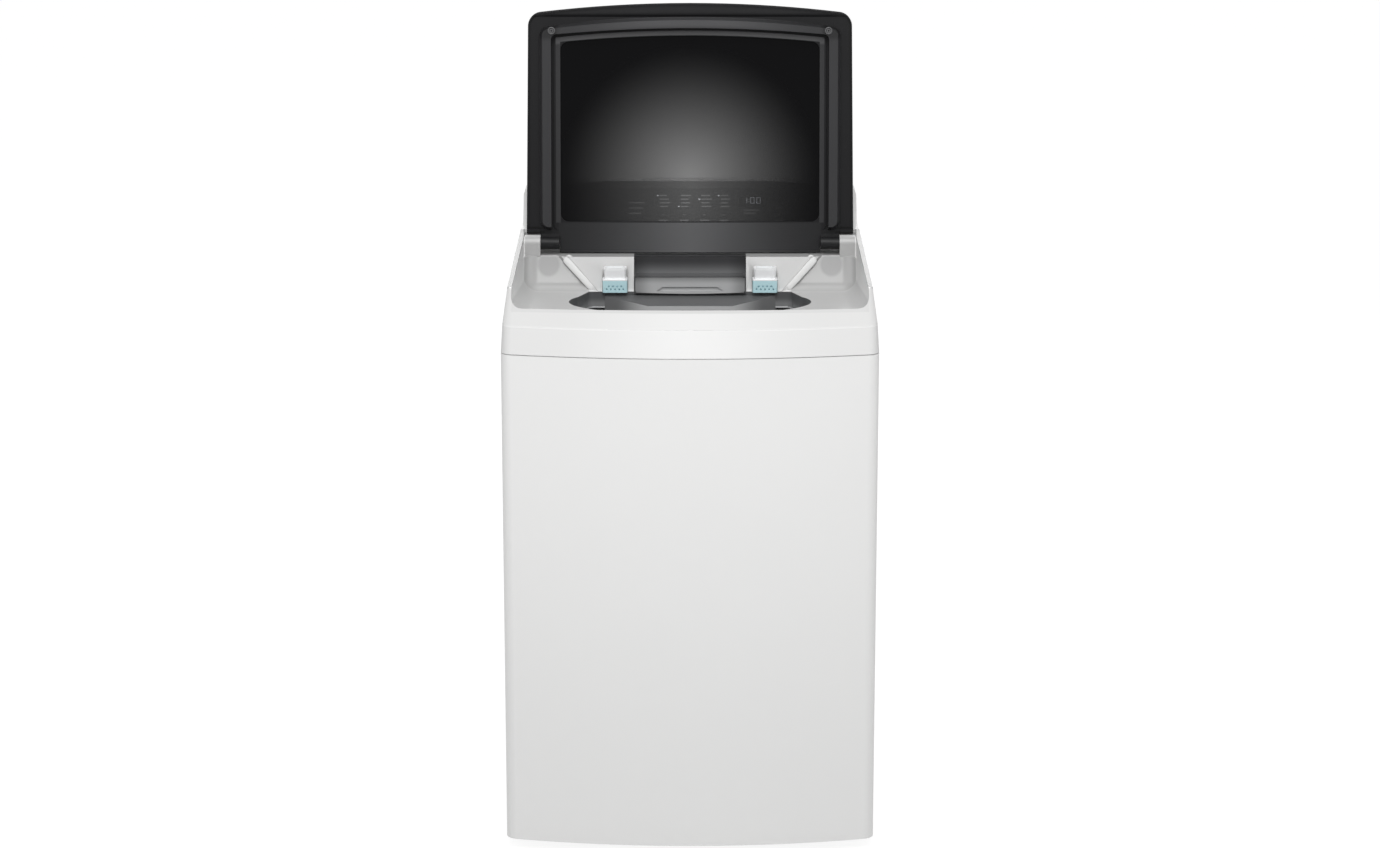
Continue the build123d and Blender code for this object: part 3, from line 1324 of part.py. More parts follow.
# Hinge barrels and pins
with BuildPart() as hinge_barrels:
    barrel_end = POST_X0 - SLIP
    for side in (-1, 1):
        rod_x(HINGE_Y, HINGE_Z, side * BARREL_X0, side * barrel_end, BARREL_R)
        rod_x(HINGE_Y, HINGE_Z, side * PIN_X0, side * POST_X0, PIN_R, Mode.SUBTRACT)
        x0 = side * BARREL_X0
        lid_block(x0, side * barrel_end, NOTCH_Y - LUG_DEEP, NOTCH_Y, LID_OUT, LID_CORE)
hinge_barrels.part.label = "hinge_barrels"
export_step(hinge_barrels.part, "parts/hinge_barrels.step")

with BuildPart() as hinge_pins:
    for side in (-1, 1):
        rod_x(HINGE_Y, HINGE_Z, side * PIN_X0, side * (PIN_X0 + PIN_LEN), PIN_R)
hinge_pins.part.label = "hinge_pins"
export_step(hinge_pins.part, "parts/hinge_pins.step")

# Console housing on the rear deck
with BuildPart() as console_housing:
    crown_z = CONSOLE_TOP_Z + CONSOLE_CROWN
    prism(
        SIDE,
        [
            (CONSOLE_FRONT, DECK_Z),
            (CONSOLE_TOP_Y, CONSOLE_TOP_Z),
            (CONSOLE_TOP_Y + CONSOLE_CROWN_IN, crown_z),
            (BACK_Y - CONSOLE_BACK_IN, CONSOLE_TOP_Z - CONSOLE_BACK_DROP),
            (BACK_Y, CONSOLE_TOP_Z - CONSOLE_BACK_EDGE),
            (BACK_Y, DECK_Z),
        ],
        CONSOLE_HALF,
    )
    with BuildSketch(Plane.XZ) as arch:
        with BuildLine():
            drop = CONSOLE_ARC_R - (CONSOLE_ARC_R**2 - CONSOLE_HALF**2) ** 0.5
            ThreePointArc(
                (-CONSOLE_HALF, crown_z - drop), (0, crown_z), (CONSOLE_HALF, crown_z - drop)
            )
            Polyline(
                (CONSOLE_HALF, crown_z - drop),
                (CONSOLE_HALF, DECK_Z),
                (-CONSOLE_HALF, DECK_Z),
                (-CONSOLE_HALF, crown_z - drop),
            )
        make_face()
        fillet(arch.vertices().group_by(Axis.Z)[-1], CONSOLE_R)
    extrude(amount=WHOLE, both=True, mode=Mode.INTERSECT)
    ceiling = behind_fascia(FASCIA_S1 - CONSOLE_WALL, FASCIA_BACK)
    prism(
        SIDE,
        [
            behind_fascia(0, FASCIA_BACK),
            ceiling,
            (BACK_Y - CONSOLE_WALL, ceiling[1]),
            (BACK_Y - CONSOLE_WALL, DECK_Z - CUT),
        ],
        CONSOLE_HALF - CONSOLE_WALL,
        Mode.SUBTRACT,
    )
    mid_s = (FASCIA_S0 + FASCIA_S1) / 2
    seat_w = 2 * (FASCIA_HALF + SLIP)
    seat_h = FASCIA_S1 - FASCIA_S0 + 2 * SLIP
    fascia_block(0, mid_s, seat_w, seat_h, FASCIA_T, FASCIA_T + CUT, FASCIA_R, Mode.SUBTRACT)
    for x in KEYS.values():
        hole = (KEY_W + KEY_ROOM, KEY_H + KEY_ROOM, KEY_BACK, KEY_BACK, 0)
        fascia_block(x, KEY_S, *hole, Mode.SUBTRACT)
    hole = (WINDOW_W - WINDOW_SEAT, WINDOW_H - WINDOW_SEAT, KEY_BACK, KEY_BACK, 0)
    fascia_block(WINDOW_X, WINDOW_S, *hole, Mode.SUBTRACT)
    for x in VALVE_X.values():
        rod_y(x, VALVE_Z, BACK_Y - CONSOLE_WALL - CUT, BACK_Y + CUT, STUB_R + CUT, Mode.SUBTRACT)
console_housing.part.label = "console_housing"
export_step(console_housing.part, "parts/console_housing.step")

# Gloss fascia with a window for the display and openings for the keys
with BuildPart() as control_fascia:
    fascia_block(0, mid_s, 2 * FASCIA_HALF, FASCIA_S1 - FASCIA_S0, FASCIA_T, FASCIA_T, FASCIA_R)
    for x in KEYS.values():
        hole = (KEY_W + 2 * SLIP, KEY_H + 2 * SLIP, FASCIA_T + CUT, FASCIA_T + 2 * CUT, KEY_R + SLIP)
        fascia_block(x, KEY_S, *hole, Mode.SUBTRACT)
    hole = (WINDOW_W, WINDOW_H, FASCIA_T + CUT, FASCIA_T + 2 * CUT, WINDOW_R)
    fascia_block(WINDOW_X, WINDOW_S, *hole, Mode.SUBTRACT)
control_fascia.part.label = "control_fascia"
export_step(control_fascia.part, "parts/control_fascia.step")

with BuildPart() as display_window:
    fascia_block(WINDOW_X, WINDOW_S, WINDOW_W, WINDOW_H, FASCIA_T, FASCIA_T - WINDOW_SINK, WINDOW_R)
display_window.part.label = "display_window"
export_step(display_window.part, "parts/display_window.step")


def key(name):
    """Push key with a rounded cap and a stem behind the fascia."""
    fascia_block(KEYS[name], KEY_S, KEY_W, KEY_H, KEY_BACK, KEY_BACK + KEY_PROUD, KEY_R)


with BuildPart() as key_program:
    key("key_program")
key_program.part.label = "key_program"
export_step(key_program.part, "parts/key_program.step")

with BuildPart() as key_level:
    key("key_level")
key_level.part.label = "key_level"
export_step(key_level.part, "parts/key_level.step")

with BuildPart() as key_rinse:
    key("key_rinse")
key_rinse.part.label = "key_rinse"
export_step(key_rinse.part, "parts/key_rinse.step")

with BuildPart() as key_spin:
    key("key_spin")
key_spin.part.label = "key_spin"
export_step(key_spin.part, "parts/key_spin.step")

with BuildPart() as key_start:
    key("key_start")
key_start.part.label = "key_start"
export_step(key_start.part, "parts/key_start.step")

with BuildPart() as key_power:
    key("key_power")
key_power.part.label = "key_power"
export_step(key_power.part, "parts/key_power.step")

# Control board behind the fascia
with BuildPart() as control_board:
    top = BOARD_DEPTH - BOARD_T
    fascia_block(BOARD_X, BOARD_S, BOARD_W, BOARD_H, BOARD_DEPTH, BOARD_T)
    for x in KEYS.values():
        fascia_block(x, KEY_S, SWITCH_W, SWITCH_W, top, SWITCH_H)
    fascia_block(WINDOW_X, WINDOW_S, DIGIT_W, DIGIT_H, top, DIGIT_T)
    with BuildSketch(FASCIA_PLANE.offset(-top)):
        with Locations((BOARD_X, BOARD_S)):
            with GridLocations(BOARD_W - 2 * PILLAR_IN_X, BOARD_H - 2 * PILLAR_IN_S, 2, 2):
                Circle(PILLAR_R)
    extrude(amount=top - FASCIA_BACK)
control_board.part.label = "control_board"
export_step(control_board.part, "parts/control_board.step")

# Dispenser housing behind the bulkhead, with a scoop over the drawer
with BuildPart() as dispenser_housing:
    inner = BOX_HALF - BOX_WALL
    sill = DRAWER_TOP + BOX_WALL + SILL_GAP
    hood = HINGE_DECK_Z - SLIP
    attic_y = BULK_TOP_Y + ATTIC_IN
    block(-BOX_HALF, BOX_HALF, BULK_Y, BOX_BACK, BOX_Z0, POCKET_TOP - SLIP)
    block(-BOX_HALF, BOX_HALF, BULK_Y, HOOD_Y - SLIP, BOX_Z0, hood)
    tunnel = (BOX_BACK - BOX_WALL, BOX_Z0 + BOX_WALL, sill - BOX_WALL)
    block(-inner, inner, BULK_Y - CUT, *tunnel, Mode.SUBTRACT)
    prism(
        SIDE,
        [(MOUTH_Y, sill), (SCOOP_Y0, sill), (SCOOP_Y1, hood + CUT), (MOUTH_Y, hood + CUT)],
        inner,
        Mode.SUBTRACT,
    )
    prism(
        SIDE,
        [
            (MOUTH_Y, BOX_Z0 - CUT),
            (bulk_y(BULK_Z) + SLIP, BOX_Z0 - CUT),
            (bulk_y(BULK_Z) + SLIP, BULK_Z),
            (bulk_y(hood + CUT) + SLIP, hood + CUT),
            (MOUTH_Y, hood + CUT),
        ],
        HALF_W,
        Mode.SUBTRACT,
    )
    block(-inner, inner, attic_y, BOX_BACK - BOX_WALL, sill, POCKET_TOP - BOX_WALL, Mode.SUBTRACT)
    block(-inner, inner, DRAWER_Y + CUT, attic_y, sill - BOX_WALL, sill)
    for x in SPOUT_XS:
        spout = (SPOUT_Y0, SPOUT_Y1, BOX_Z0 - CUT, BOX_Z0 + BOX_WALL + CUT)
        block(x - SPOUT_W / 2, x + SPOUT_W / 2, *spout, Mode.SUBTRACT)
dispenser_housing.part.label = "dispenser_housing"
export_step(dispenser_housing.part, "parts/dispenser_housing.step")

# Detergent drawer: three trays behind a front with a curved lower lip
with BuildPart() as dispenser_drawer:
    tray = BOX_HALF - BOX_WALL - EASE
    front_half = POCKET_HALF - BOX_WALL - EASE
    tray_y0 = DRAWER_Y + DRAWER_FRONT - CUT
    tray_top = DRAWER_TOP - DRAWER_R
    block(-tray, tray, tray_y0 - TRAY_LAP, DRAWER_BACK, DRAWER_Z0 - DRAWER_WALL, tray_top)
    inner_split = TRAY_SPLIT - DRAWER_WALL / 2
    outer_split = TRAY_SPLIT + DRAWER_WALL / 2
    side_wall = tray - DRAWER_WALL
    for x0, x1 in ((-side_wall, -outer_split), (-inner_split, inner_split), (outer_split, side_wall)):
        well = (tray_y0, DRAWER_BACK - DRAWER_WALL, DRAWER_Z0, DRAWER_TOP)
        block(x0, x1, *well, Mode.SUBTRACT)
    with BuildSketch(Plane.XZ.offset(-DRAWER_Y - DRAWER_FRONT + CUT)) as front:
        with BuildLine():
            ThreePointArc(
                (-front_half, DRAWER_Z0), (0, DRAWER_Z0 - DRAWER_SAG), (front_half, DRAWER_Z0)
            )
            Polyline(
                (front_half, DRAWER_Z0),
                (front_half, DRAWER_TOP),
                (-front_half, DRAWER_TOP),
                (-front_half, DRAWER_Z0),
            )
        make_face()
        fillet(front.vertices().group_by(Axis.Z)[-1], DRAWER_R)
    extrude(amount=DRAWER_FRONT)
    with BuildSketch(Plane.XZ.offset(-DRAWER_Y + CUT)):
        with BuildLine():
            Polyline(
                (-GRIP_HALF, GRIP_Z0),
                (GRIP_HALF, GRIP_Z0),
                (GRIP_HALF - GRIP_DRAFT, GRIP_Z1),
                (-GRIP_HALF + GRIP_DRAFT, GRIP_Z1),
                close=True,
            )
        make_face()
    extrude(amount=-GRIP_DEPTH, mode=Mode.SUBTRACT)
dispenser_drawer.part.label = "dispenser_drawer"
export_step(dispenser_drawer.part, "parts/dispenser_drawer.step")


def chute_plan(z, wall, depth):
    """Outline of the chute at height z, moved in by wall and extruded upward."""
    draft = (CHUTE_HALF0 - CHUTE_HALF1) / (MOUTH_REAR - CHUTE_Y1)
    narrow = wall * hypot(1, draft)
    with BuildSketch(Plane.XY.offset(z)) as sketch:
        with BuildLine():
            Polyline(
                (-CHUTE_HALF0 + narrow, MOUTH_REAR),
                (CHUTE_HALF0 - narrow, MOUTH_REAR),
                (CHUTE_HALF1 - narrow + draft * wall, CHUTE_Y1 + wall),
                (-CHUTE_HALF1 + narrow - draft * wall, CHUTE_Y1 + wall),
                close=True,
            )
        make_face()
    extrude(sketch.sketch, amount=depth)


def chute_side(sink, foot):
    """Side outline under the chute's deck, sink below its top, down to foot."""
    return [
        (MOUTH_REAR, CHUTE_Z0 - sink),
        (CHUTE_Y1, CHUTE_Z1 - sink),
        (CHUTE_Y1, foot),
        (MOUTH_REAR, foot),
    ]


# Hollow under the chute's deck, a tool
with BuildPart() as chute_hollow:
    apron_z = CHUTE_Z1 - CHUTE_DROP
    chute_plan(apron_z - CUT, CHUTE_T, CHUTE_Z0 - apron_z)
    prism(SIDE, chute_side(CHUTE_T, apron_z - CUT), HALF_W, Mode.INTERSECT)

# Fill chute below the dispenser: a sloping deck with an apron round its free edges
with BuildPart() as fill_chute:
    chute_plan(apron_z, 0, CHUTE_Z0 - apron_z)
    prism(SIDE, chute_side(0, apron_z), HALF_W, Mode.INTERSECT)
    add(chute_hollow.part, mode=Mode.SUBTRACT)
fill_chute.part.label = "fill_chute"
export_step(fill_chute.part, "parts/fill_chute.step")


def filter_plan(x, z, shrink):
    """Plan of a filter cassette at height z, moved in by shrink."""
    with BuildSketch(Plane.XY.offset(z)) as sketch:
        with Locations((x, (FILTER_Y0 + FILTER_Y1) / 2)):
            depth = FILTER_Y1 - FILTER_Y0 - 2 * shrink
            RectangleRounded(FILTER_W - 2 * shrink, depth, FILTER_R)
    return sketch.sketch


def filter_cup(x):
    """Cup of a lint filter with rows of drain holes."""
    base = BULK_Z + SLIP
    extrude(filter_plan(x, base, 0), amount=FILTER_SPLIT - base)
    extrude(filter_plan(x, base + FILTER_WALL, FILTER_WALL), amount=FILTER_SPLIT, mode=Mode.SUBTRACT)
    for row, rise in enumerate(HOLE_RISE):
        for step in range(HOLES - row):
            hole_x = x + (step - (HOLES - 1 - row) / 2) * HOLE_PITCH
            hole_y = (FILTER_Y0 - CUT, FILTER_Y0 + FILTER_WALL + CUT)
            rod_y(hole_x, base + rise, *hole_y, HOLE_R, Mode.SUBTRACT)


def filter_cap(x):
    """Cap of a lint filter: a collar in the cup's mouth that flares to a finger lip."""
    neck = FILTER_TOP - FILTER_LIP - FILTER_SPLIT
    extrude(filter_plan(x, FILTER_SPLIT, 0), amount=FILTER_WALL)
    extrude(filter_plan(x, FILTER_SPLIT, FILTER_NECK), amount=neck, taper=-FILTER_FLARE)
    extrude(filter_plan(x, FILTER_TOP - FILTER_LIP, FILTER_WALL), amount=FILTER_LIP)
    bore = FILTER_NECK + FILTER_WALL
    extrude(filter_plan(x, FILTER_SPLIT - CUT, bore), amount=FILTER_TOP, mode=Mode.SUBTRACT)


# Lint filters, left and right
with BuildPart() as filter_cup_left:
    filter_cup(-FILTER_X)
filter_cup_left.part.label = "filter_cup_left"
export_step(filter_cup_left.part, "parts/filter_cup_left.step")

with BuildPart() as filter_cap_left:
    filter_cap(-FILTER_X)
filter_cap_left.part.label = "filter_cap_left"
export_step(filter_cap_left.part, "parts/filter_cap_left.step")

with BuildPart() as filter_cup_right:
    filter_cup(FILTER_X)
filter_cup_right.part.label = "filter_cup_right"
export_step(filter_cup_right.part, "parts/filter_cup_right.step")

with BuildPart() as filter_cap_right:
    filter_cap(FILTER_X)
filter_cap_right.part.label = "filter_cap_right"
export_step(filter_cap_right.part, "parts/filter_cap_right.step")

# Screws of the lid trim
with BuildPart() as lid_screws:
    with BuildSketch(LID_PLANE.offset(TRIM_TOP)):
        with Locations((-SCREW_X, SCREW_Y), (SCREW_X, SCREW_Y)):
            Circle(LID_SCREW_R)
            RegularPolygon(LID_SCREW_R / 2, 6, mode=Mode.SUBTRACT)
    extrude(amount=LID_SCREW_T)
lid_screws.part.label = "lid_screws"
export_step(lid_screws.part, "parts/lid_screws.step")


def valve(x):
    """Inlet valve: body, coil and the stub for a supply hose."""
    body_y = BACK_Y - VALVE_BACK
    rod_y(x, VALVE_Z, body_y, BACK_Y - CONSOLE_WALL, VALVE_R)
    rod_y(x, VALVE_Z, BACK_Y - CONSOLE_WALL, REAR_Y, STUB_R)
    block(x - COIL_HALF, x + COIL_HALF, body_y, body_y + COIL_LEN, DECK_Z, VALVE_Z)
    rod_y(x, VALVE_Z, body_y + STUB_END, REAR_Y + CUT, STUB_BORE, Mode.SUBTRACT)


# Hot and cold inlet valves
with BuildPart() as inlet_valve_hot:
    valve(VALVE_X["inlet_valve_hot"])
inlet_valve_hot.part.label = "inlet_valve_hot"
export_step(inlet_valve_hot.part, "parts/inlet_valve_hot.step")

with BuildPart() as inlet_valve_cold:
    valve(VALVE_X["inlet_valve_cold"])
inlet_valve_cold.part.label = "inlet_valve_cold"
export_step(inlet_valve_cold.part, "parts/inlet_valve_cold.step")

# Water level switch on the deck inside the console
with BuildPart() as level_switch:
    disc(LEVEL_X, LEVEL_Y, DECK_Z, DECK_Z + LEVEL_H, LEVEL_R)
    disc(LEVEL_X, LEVEL_Y, DECK_Z + LEVEL_H, DECK_Z + LEVEL_H + NIPPLE_H, NIPPLE_R)
level_switch.part.label = "level_switch"
export_step(level_switch.part, "parts/level_switch.step")
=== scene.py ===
"""Looks of a top load washing machine with its lid standing open.

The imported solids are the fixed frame. This script dresses them with procedural finishes, adds the
pieces that are too fine or too soft for the solids, and sets a plain studio round the machine.
"""

from __future__ import annotations

import logging
import math
from dataclasses import dataclass, replace
from enum import Enum
from typing import Dict, List, Optional, Sequence, Tuple, Union

import bpy
import numpy as np
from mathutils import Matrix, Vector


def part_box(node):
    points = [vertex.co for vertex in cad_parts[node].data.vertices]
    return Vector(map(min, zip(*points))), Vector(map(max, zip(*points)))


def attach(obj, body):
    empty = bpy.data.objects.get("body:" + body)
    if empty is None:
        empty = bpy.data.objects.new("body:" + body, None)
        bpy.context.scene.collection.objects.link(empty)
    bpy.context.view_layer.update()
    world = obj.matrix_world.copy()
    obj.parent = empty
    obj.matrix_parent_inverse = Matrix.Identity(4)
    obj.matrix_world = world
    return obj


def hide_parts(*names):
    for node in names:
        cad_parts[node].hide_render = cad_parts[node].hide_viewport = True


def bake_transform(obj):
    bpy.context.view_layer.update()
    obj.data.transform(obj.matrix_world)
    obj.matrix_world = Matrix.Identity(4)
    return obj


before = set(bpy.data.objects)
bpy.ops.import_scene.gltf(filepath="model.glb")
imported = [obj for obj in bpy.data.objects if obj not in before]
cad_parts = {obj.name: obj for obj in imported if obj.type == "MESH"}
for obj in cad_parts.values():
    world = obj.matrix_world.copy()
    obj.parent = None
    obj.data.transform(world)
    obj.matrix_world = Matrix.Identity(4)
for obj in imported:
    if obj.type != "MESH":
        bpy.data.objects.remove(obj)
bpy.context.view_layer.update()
log = logging.getLogger("washer")

Colour = Tuple[float, float, float]
Point = Tuple[float, float, float]
Span = Tuple[float, float]
Box = Tuple[float, float, float, float]
Number = Union[int, float]

MM = 0.001
SIDES = (-1.0, 1.0)
PURE_WHITE = (1.0, 1.0, 1.0, 1.0)
MIX_LOW, MIX_HIGH, MIX_RESULT = 6, 7, 2
WELD_GAP = 0.00002
SHARP_ANGLE = 32.0
ROUNDED_ANGLE = 50.0
ROUNDED_STEPS = 2


class Axis(Enum):
    """A direction of the frame."""

    X = 0
    Y = 1
    Z = 2


class Close(Enum):
    """How a grid of points joins up: first along its rows, then along its columns."""

    OPEN = (False, False)
    TUBE = (False, True)
    RING = (True, True)


class Wire:
    """A shader socket that takes part in arithmetic; every operator adds one Math node."""

    def __init__(self, graph: "Graph", socket: Optional[bpy.types.NodeSocket]) -> None:
        """Keep the graph and one output socket of its nodes."""
        self.graph = graph
        self.socket = socket

    def _math(self, operation: str, left: "Term", right: "Term") -> "Wire":
        """Result of a Math node on two operands."""
        return self.graph.node("ShaderNodeMath", {"operation": operation}, {0: left, 1: right})

    def __add__(self, other: "Term") -> "Wire":
        """Sum."""
        return self._math("ADD", self, other)

    def __radd__(self, other: "Term") -> "Wire":
        """Reflected sum."""
        return self._math("ADD", other, self)

    def __sub__(self, other: "Term") -> "Wire":
        """Difference."""
        return self._math("SUBTRACT", self, other)

    def __rsub__(self, other: "Term") -> "Wire":
        """Reflected difference."""
        return self._math("SUBTRACT", other, self)

    def __mul__(self, other: "Term") -> "Wire":
        """Product."""
        return self._math("MULTIPLY", self, other)

    def __rmul__(self, other: "Term") -> "Wire":
        """Reflected product."""
        return self._math("MULTIPLY", other, self)

    def __truediv__(self, other: "Term") -> "Wire":
        """Quotient."""
        return self._math("DIVIDE", self, other)

    def __rtruediv__(self, other: "Term") -> "Wire":
        """Reflected quotient."""
        return self._math("DIVIDE", other, self)

    def __pow__(self, other: "Term") -> "Wire":
        """Power."""
        return self._math("POWER", self, other)

    def __gt__(self, other: "Term") -> "Wire":
        """One where this is greater, zero elsewhere."""
        return self._math("GREATER_THAN", self, other)

    def __lt__(self, other: "Term") -> "Wire":
        """One where this is less, zero elsewhere."""
        return self._math("LESS_THAN", self, other)

    def size(self) -> "Wire":
        """Absolute value."""
        return self._math("ABSOLUTE", self, 0.0)

    def exp(self) -> "Wire":
        """Natural exponential."""
        return self._math("EXPONENT", self, 0.0)

    def top(self, other: "Term") -> "Wire":
        """Greater of two."""
        return self._math("MAXIMUM", self, other)

    def wave(self) -> "Wire":
        """Sine."""
        return self._math("SINE", self, 0.0)

    def wrap(self, period: Number) -> "Wire":
        """Remainder after whole periods, never negative."""
        return self._math("FLOORED_MODULO", self, period)

    def turn(self, other: "Term") -> "Wire":
        """Angle of the point whose second coordinate is this and whose first is the other."""
        return self._math("ARCTAN2", self, other)


Term = Union[Wire, Number]
Shade = Union[Wire, Sequence[float]]
Place = Tuple[Wire, Wire, Wire, Wire]


class Graph:
    """Node tree of one material or one world."""

    def __init__(self, owner: Union[bpy.types.Material, bpy.types.World]) -> None:
        """Empty the owner's node tree.

        Args:
            owner: the material or the world.
        """
        owner.use_nodes = True
        self.owner = owner
        self.tree = owner.node_tree
        self.tree.nodes.clear()

    def node(self, kind: str, settings: Dict, inputs: Dict, output: Union[int, str] = 0) -> Wire:
        """Add a node of any type.

        Args:
            kind: the node's type.
            settings: attributes set before the sockets.
            inputs: socket name or index to a value, a colour or a Wire.
            output: the output socket to hand back.

        Returns:
            That output as a Wire, which is empty for an output node.
        """
        made = self.tree.nodes.new(kind)
        for key, value in settings.items():
            setattr(made, key, value)
        for key, value in inputs.items():
            if isinstance(value, Wire):
                self.tree.links.new(value.socket, made.inputs[key])
            else:
                made.inputs[key].default_value = value
        return Wire(self, made.outputs[output] if made.outputs else None)

    def place(self) -> Place:
        """Object coordinates as a vector and as its three numbers.

        Returns:
            The vector, X, Y and Z.
        """
        vector = self.node("ShaderNodeTexCoord", {}, {}, "Object")
        parts = [self.node("ShaderNodeSeparateXYZ", {}, {0: vector}, axis.name) for axis in Axis]
        return (vector, *parts)

    def noise(self, vector: Wire, scale: float, detail: float = 2.0) -> Wire:
        """Noise from zero to one over a vector, with so many waves per metre."""
        inputs = {"Vector": vector, "Scale": scale, "Detail": detail}
        return self.node("ShaderNodeTexNoise", {}, inputs)

    def stretch(self, vector: Wire, scale: Point) -> Wire:
        """Vector scaled along each axis."""
        return self.node("ShaderNodeMapping", {}, {"Vector": vector, "Scale": scale})

    def mix(self, factor: Term, low: Shade, high: Shade, blend: str = "MIX") -> Wire:
        """Blend of two colours.

        Args:
            factor: share of the second.
            low: first colour.
            high: second colour.
            blend: how they blend.

        Returns:
            The blended colour.
        """
        low, high = (c if isinstance(c, Wire) else (*c, 1.0) for c in (low, high))
        settings = {"data_type": "RGBA", "blend_type": blend}
        inputs = {0: factor, MIX_LOW: low, MIX_HIGH: high}
        return self.node("ShaderNodeMix", settings, inputs, MIX_RESULT)

    def dim(self, shade: Shade, share: Wire) -> Wire:
        """Colour times a number."""
        level = self.node("ShaderNodeCombineXYZ", {}, {0: share, 1: share, 2: share})
        return self.mix(1.0, shade, level, "MULTIPLY")

    def span(
        self, value: Wire, low: float, high: float, start: float = 0.0, end: float = 1.0
    ) -> Wire:
        """Value mapped smoothly from one range to another.

        Args:
            value: the value.
            low: where the result is start.
            high: where the result is end.
            start: result at low.
            end: result at high.

        Returns:
            The mapped value.
        """
        return self.node(
            "ShaderNodeMapRange",
            {"interpolation_type": "SMOOTHSTEP"},
            {"Value": value, "From Min": low, "From Max": high, "To Min": start, "To Max": end},
        )

    def bump(self, height: Wire, depth: float) -> Wire:
        """Normal of a height field from zero to one, so many metres deep."""
        return self.node("ShaderNodeBump", {}, {"Height": height, "Distance": depth})

    def close(self, surface: Wire, kind: str = "ShaderNodeOutputMaterial") -> None:
        """Link a shader to an output node."""
        self.node(kind, {}, {"Surface": surface})


@dataclass(frozen=True)
class Finish:
    """A plain finish: one colour that drifts a little, fine grain, and gloss."""

    name: str
    colour: Colour
    rough: float = 0.4
    metal: float = 0.0
    coat: float = 0.0
    shine: float = 0.5
    drift: float = 0.03
    drift_scale: float = 9.0
    grain: float = 0.00002
    grain_scale: float = 900.0
    sway: float = 0.08
    sway_scale: float = 60.0
    coat_rough: float = 0.08

    def tone(self, graph: Graph, place: Place) -> Shade:
        """Colour before its drift."""
        return self.colour

    def height(self, graph: Graph, place: Place) -> Wire:
        """Fine grain of the surface, from zero to one."""
        return graph.noise(place[0], self.grain_scale, detail=1.0)

    def sockets(self, graph: Graph, place: Place) -> Dict:
        """Sockets of the surface shader.

        Args:
            graph: the material's graph.
            place: Object coordinates.

        Returns:
            Socket names to values.
        """
        shade = self.tone(graph, place)
        dim = 1 - 2 * self.drift
        darker = graph.mix(1.0, shade, (dim, dim, dim), "MULTIPLY")
        sway = graph.noise(place[0], self.sway_scale) - 0.5
        return {
            "Base Color": graph.mix(graph.noise(place[0], self.drift_scale), darker, shade),
            "Roughness": self.rough + self.sway * sway,
            "Metallic": self.metal,
            "Coat Weight": self.coat,
            "Coat Roughness": self.coat_rough,
            "Specular IOR Level": self.shine,
            "Normal": graph.bump(self.height(graph, place), self.grain),
        }

    def material(self) -> bpy.types.Material:
        """Build the material.

        Returns:
            The material.
        """
        graph = Graph(bpy.data.materials.new(self.name))
        sockets = self.sockets(graph, graph.place())
        graph.close(graph.node("ShaderNodeBsdfPrincipled", {}, sockets))
        return graph.owner


@dataclass(frozen=True)
class Fade(Finish):
    """A finish that goes from its own colour to another along one direction, in metres."""

    other: Colour = (0.5, 0.5, 0.5)
    axis: Axis = Axis.Z
    begin: float = 0.0
    end: float = 1.0

    def tone(self, graph: Graph, place: Place) -> Shade:
        """Smooth step between the two colours."""
        share = graph.span(place[1 + self.axis.value], self.begin, self.end)
        return graph.mix(share, self.colour, self.other)


@dataclass(frozen=True)
class Pocket(Fade):
    """A fade that is in shade towards the left and right ends."""

    side_x: Span = (0.060, 0.093)
    side: float = 0.56

    def tone(self, graph: Graph, place: Place) -> Shade:
        """The fade times a share that falls along abs(x)."""
        share = graph.span(place[1].size(), *self.side_x, 1.0, self.side)
        return graph.dim(super().tone(graph, place), share)


@dataclass(frozen=True)
class Glowing(Finish):
    """A finish that gives light of its own colour."""

    power: float = 1.0

    def sockets(self, graph: Graph, place: Place) -> Dict:
        """Plain sockets with emission.

        Args:
            graph: the material's graph.
            place: Object coordinates.

        Returns:
            Socket names to values.
        """
        sockets = super().sockets(graph, place)
        sockets["Emission Color"] = sockets["Base Color"]
        sockets["Emission Strength"] = self.power
        return sockets


@dataclass(frozen=True)
class Spangled(Finish):
    """Hot dipped zinc: pale crystals about a centimetre wide."""

    flake: float = 95.0
    dull: float = 0.93

    def tone(self, graph: Graph, place: Place) -> Shade:
        """One shade for each crystal.

        Args:
            graph: the material's graph.
            place: Object coordinates.

        Returns:
            The colour.
        """
        inputs = {"Vector": place[0], "Scale": self.flake}
        cell = graph.node("ShaderNodeTexVoronoi", {}, inputs, "Color")
        grey = graph.node("ShaderNodeSeparateXYZ", {}, {0: cell}, "X")
        dull = tuple(self.dull * c for c in self.colour)
        return graph.mix(grey, dull, self.colour)


@dataclass(frozen=True)
class Brushed(Finish):
    """Metal with fine lines that run at right angles to one direction."""

    axis: Axis = Axis.Z
    lines: float = 1800.0
    drawn: float = 12.0

    def height(self, graph: Graph, place: Place) -> Wire:
        """Noise drawn out into lines."""
        scale = tuple(self.lines if one is self.axis else self.drawn for one in Axis)
        return graph.noise(graph.stretch(place[0], scale), 1.0)


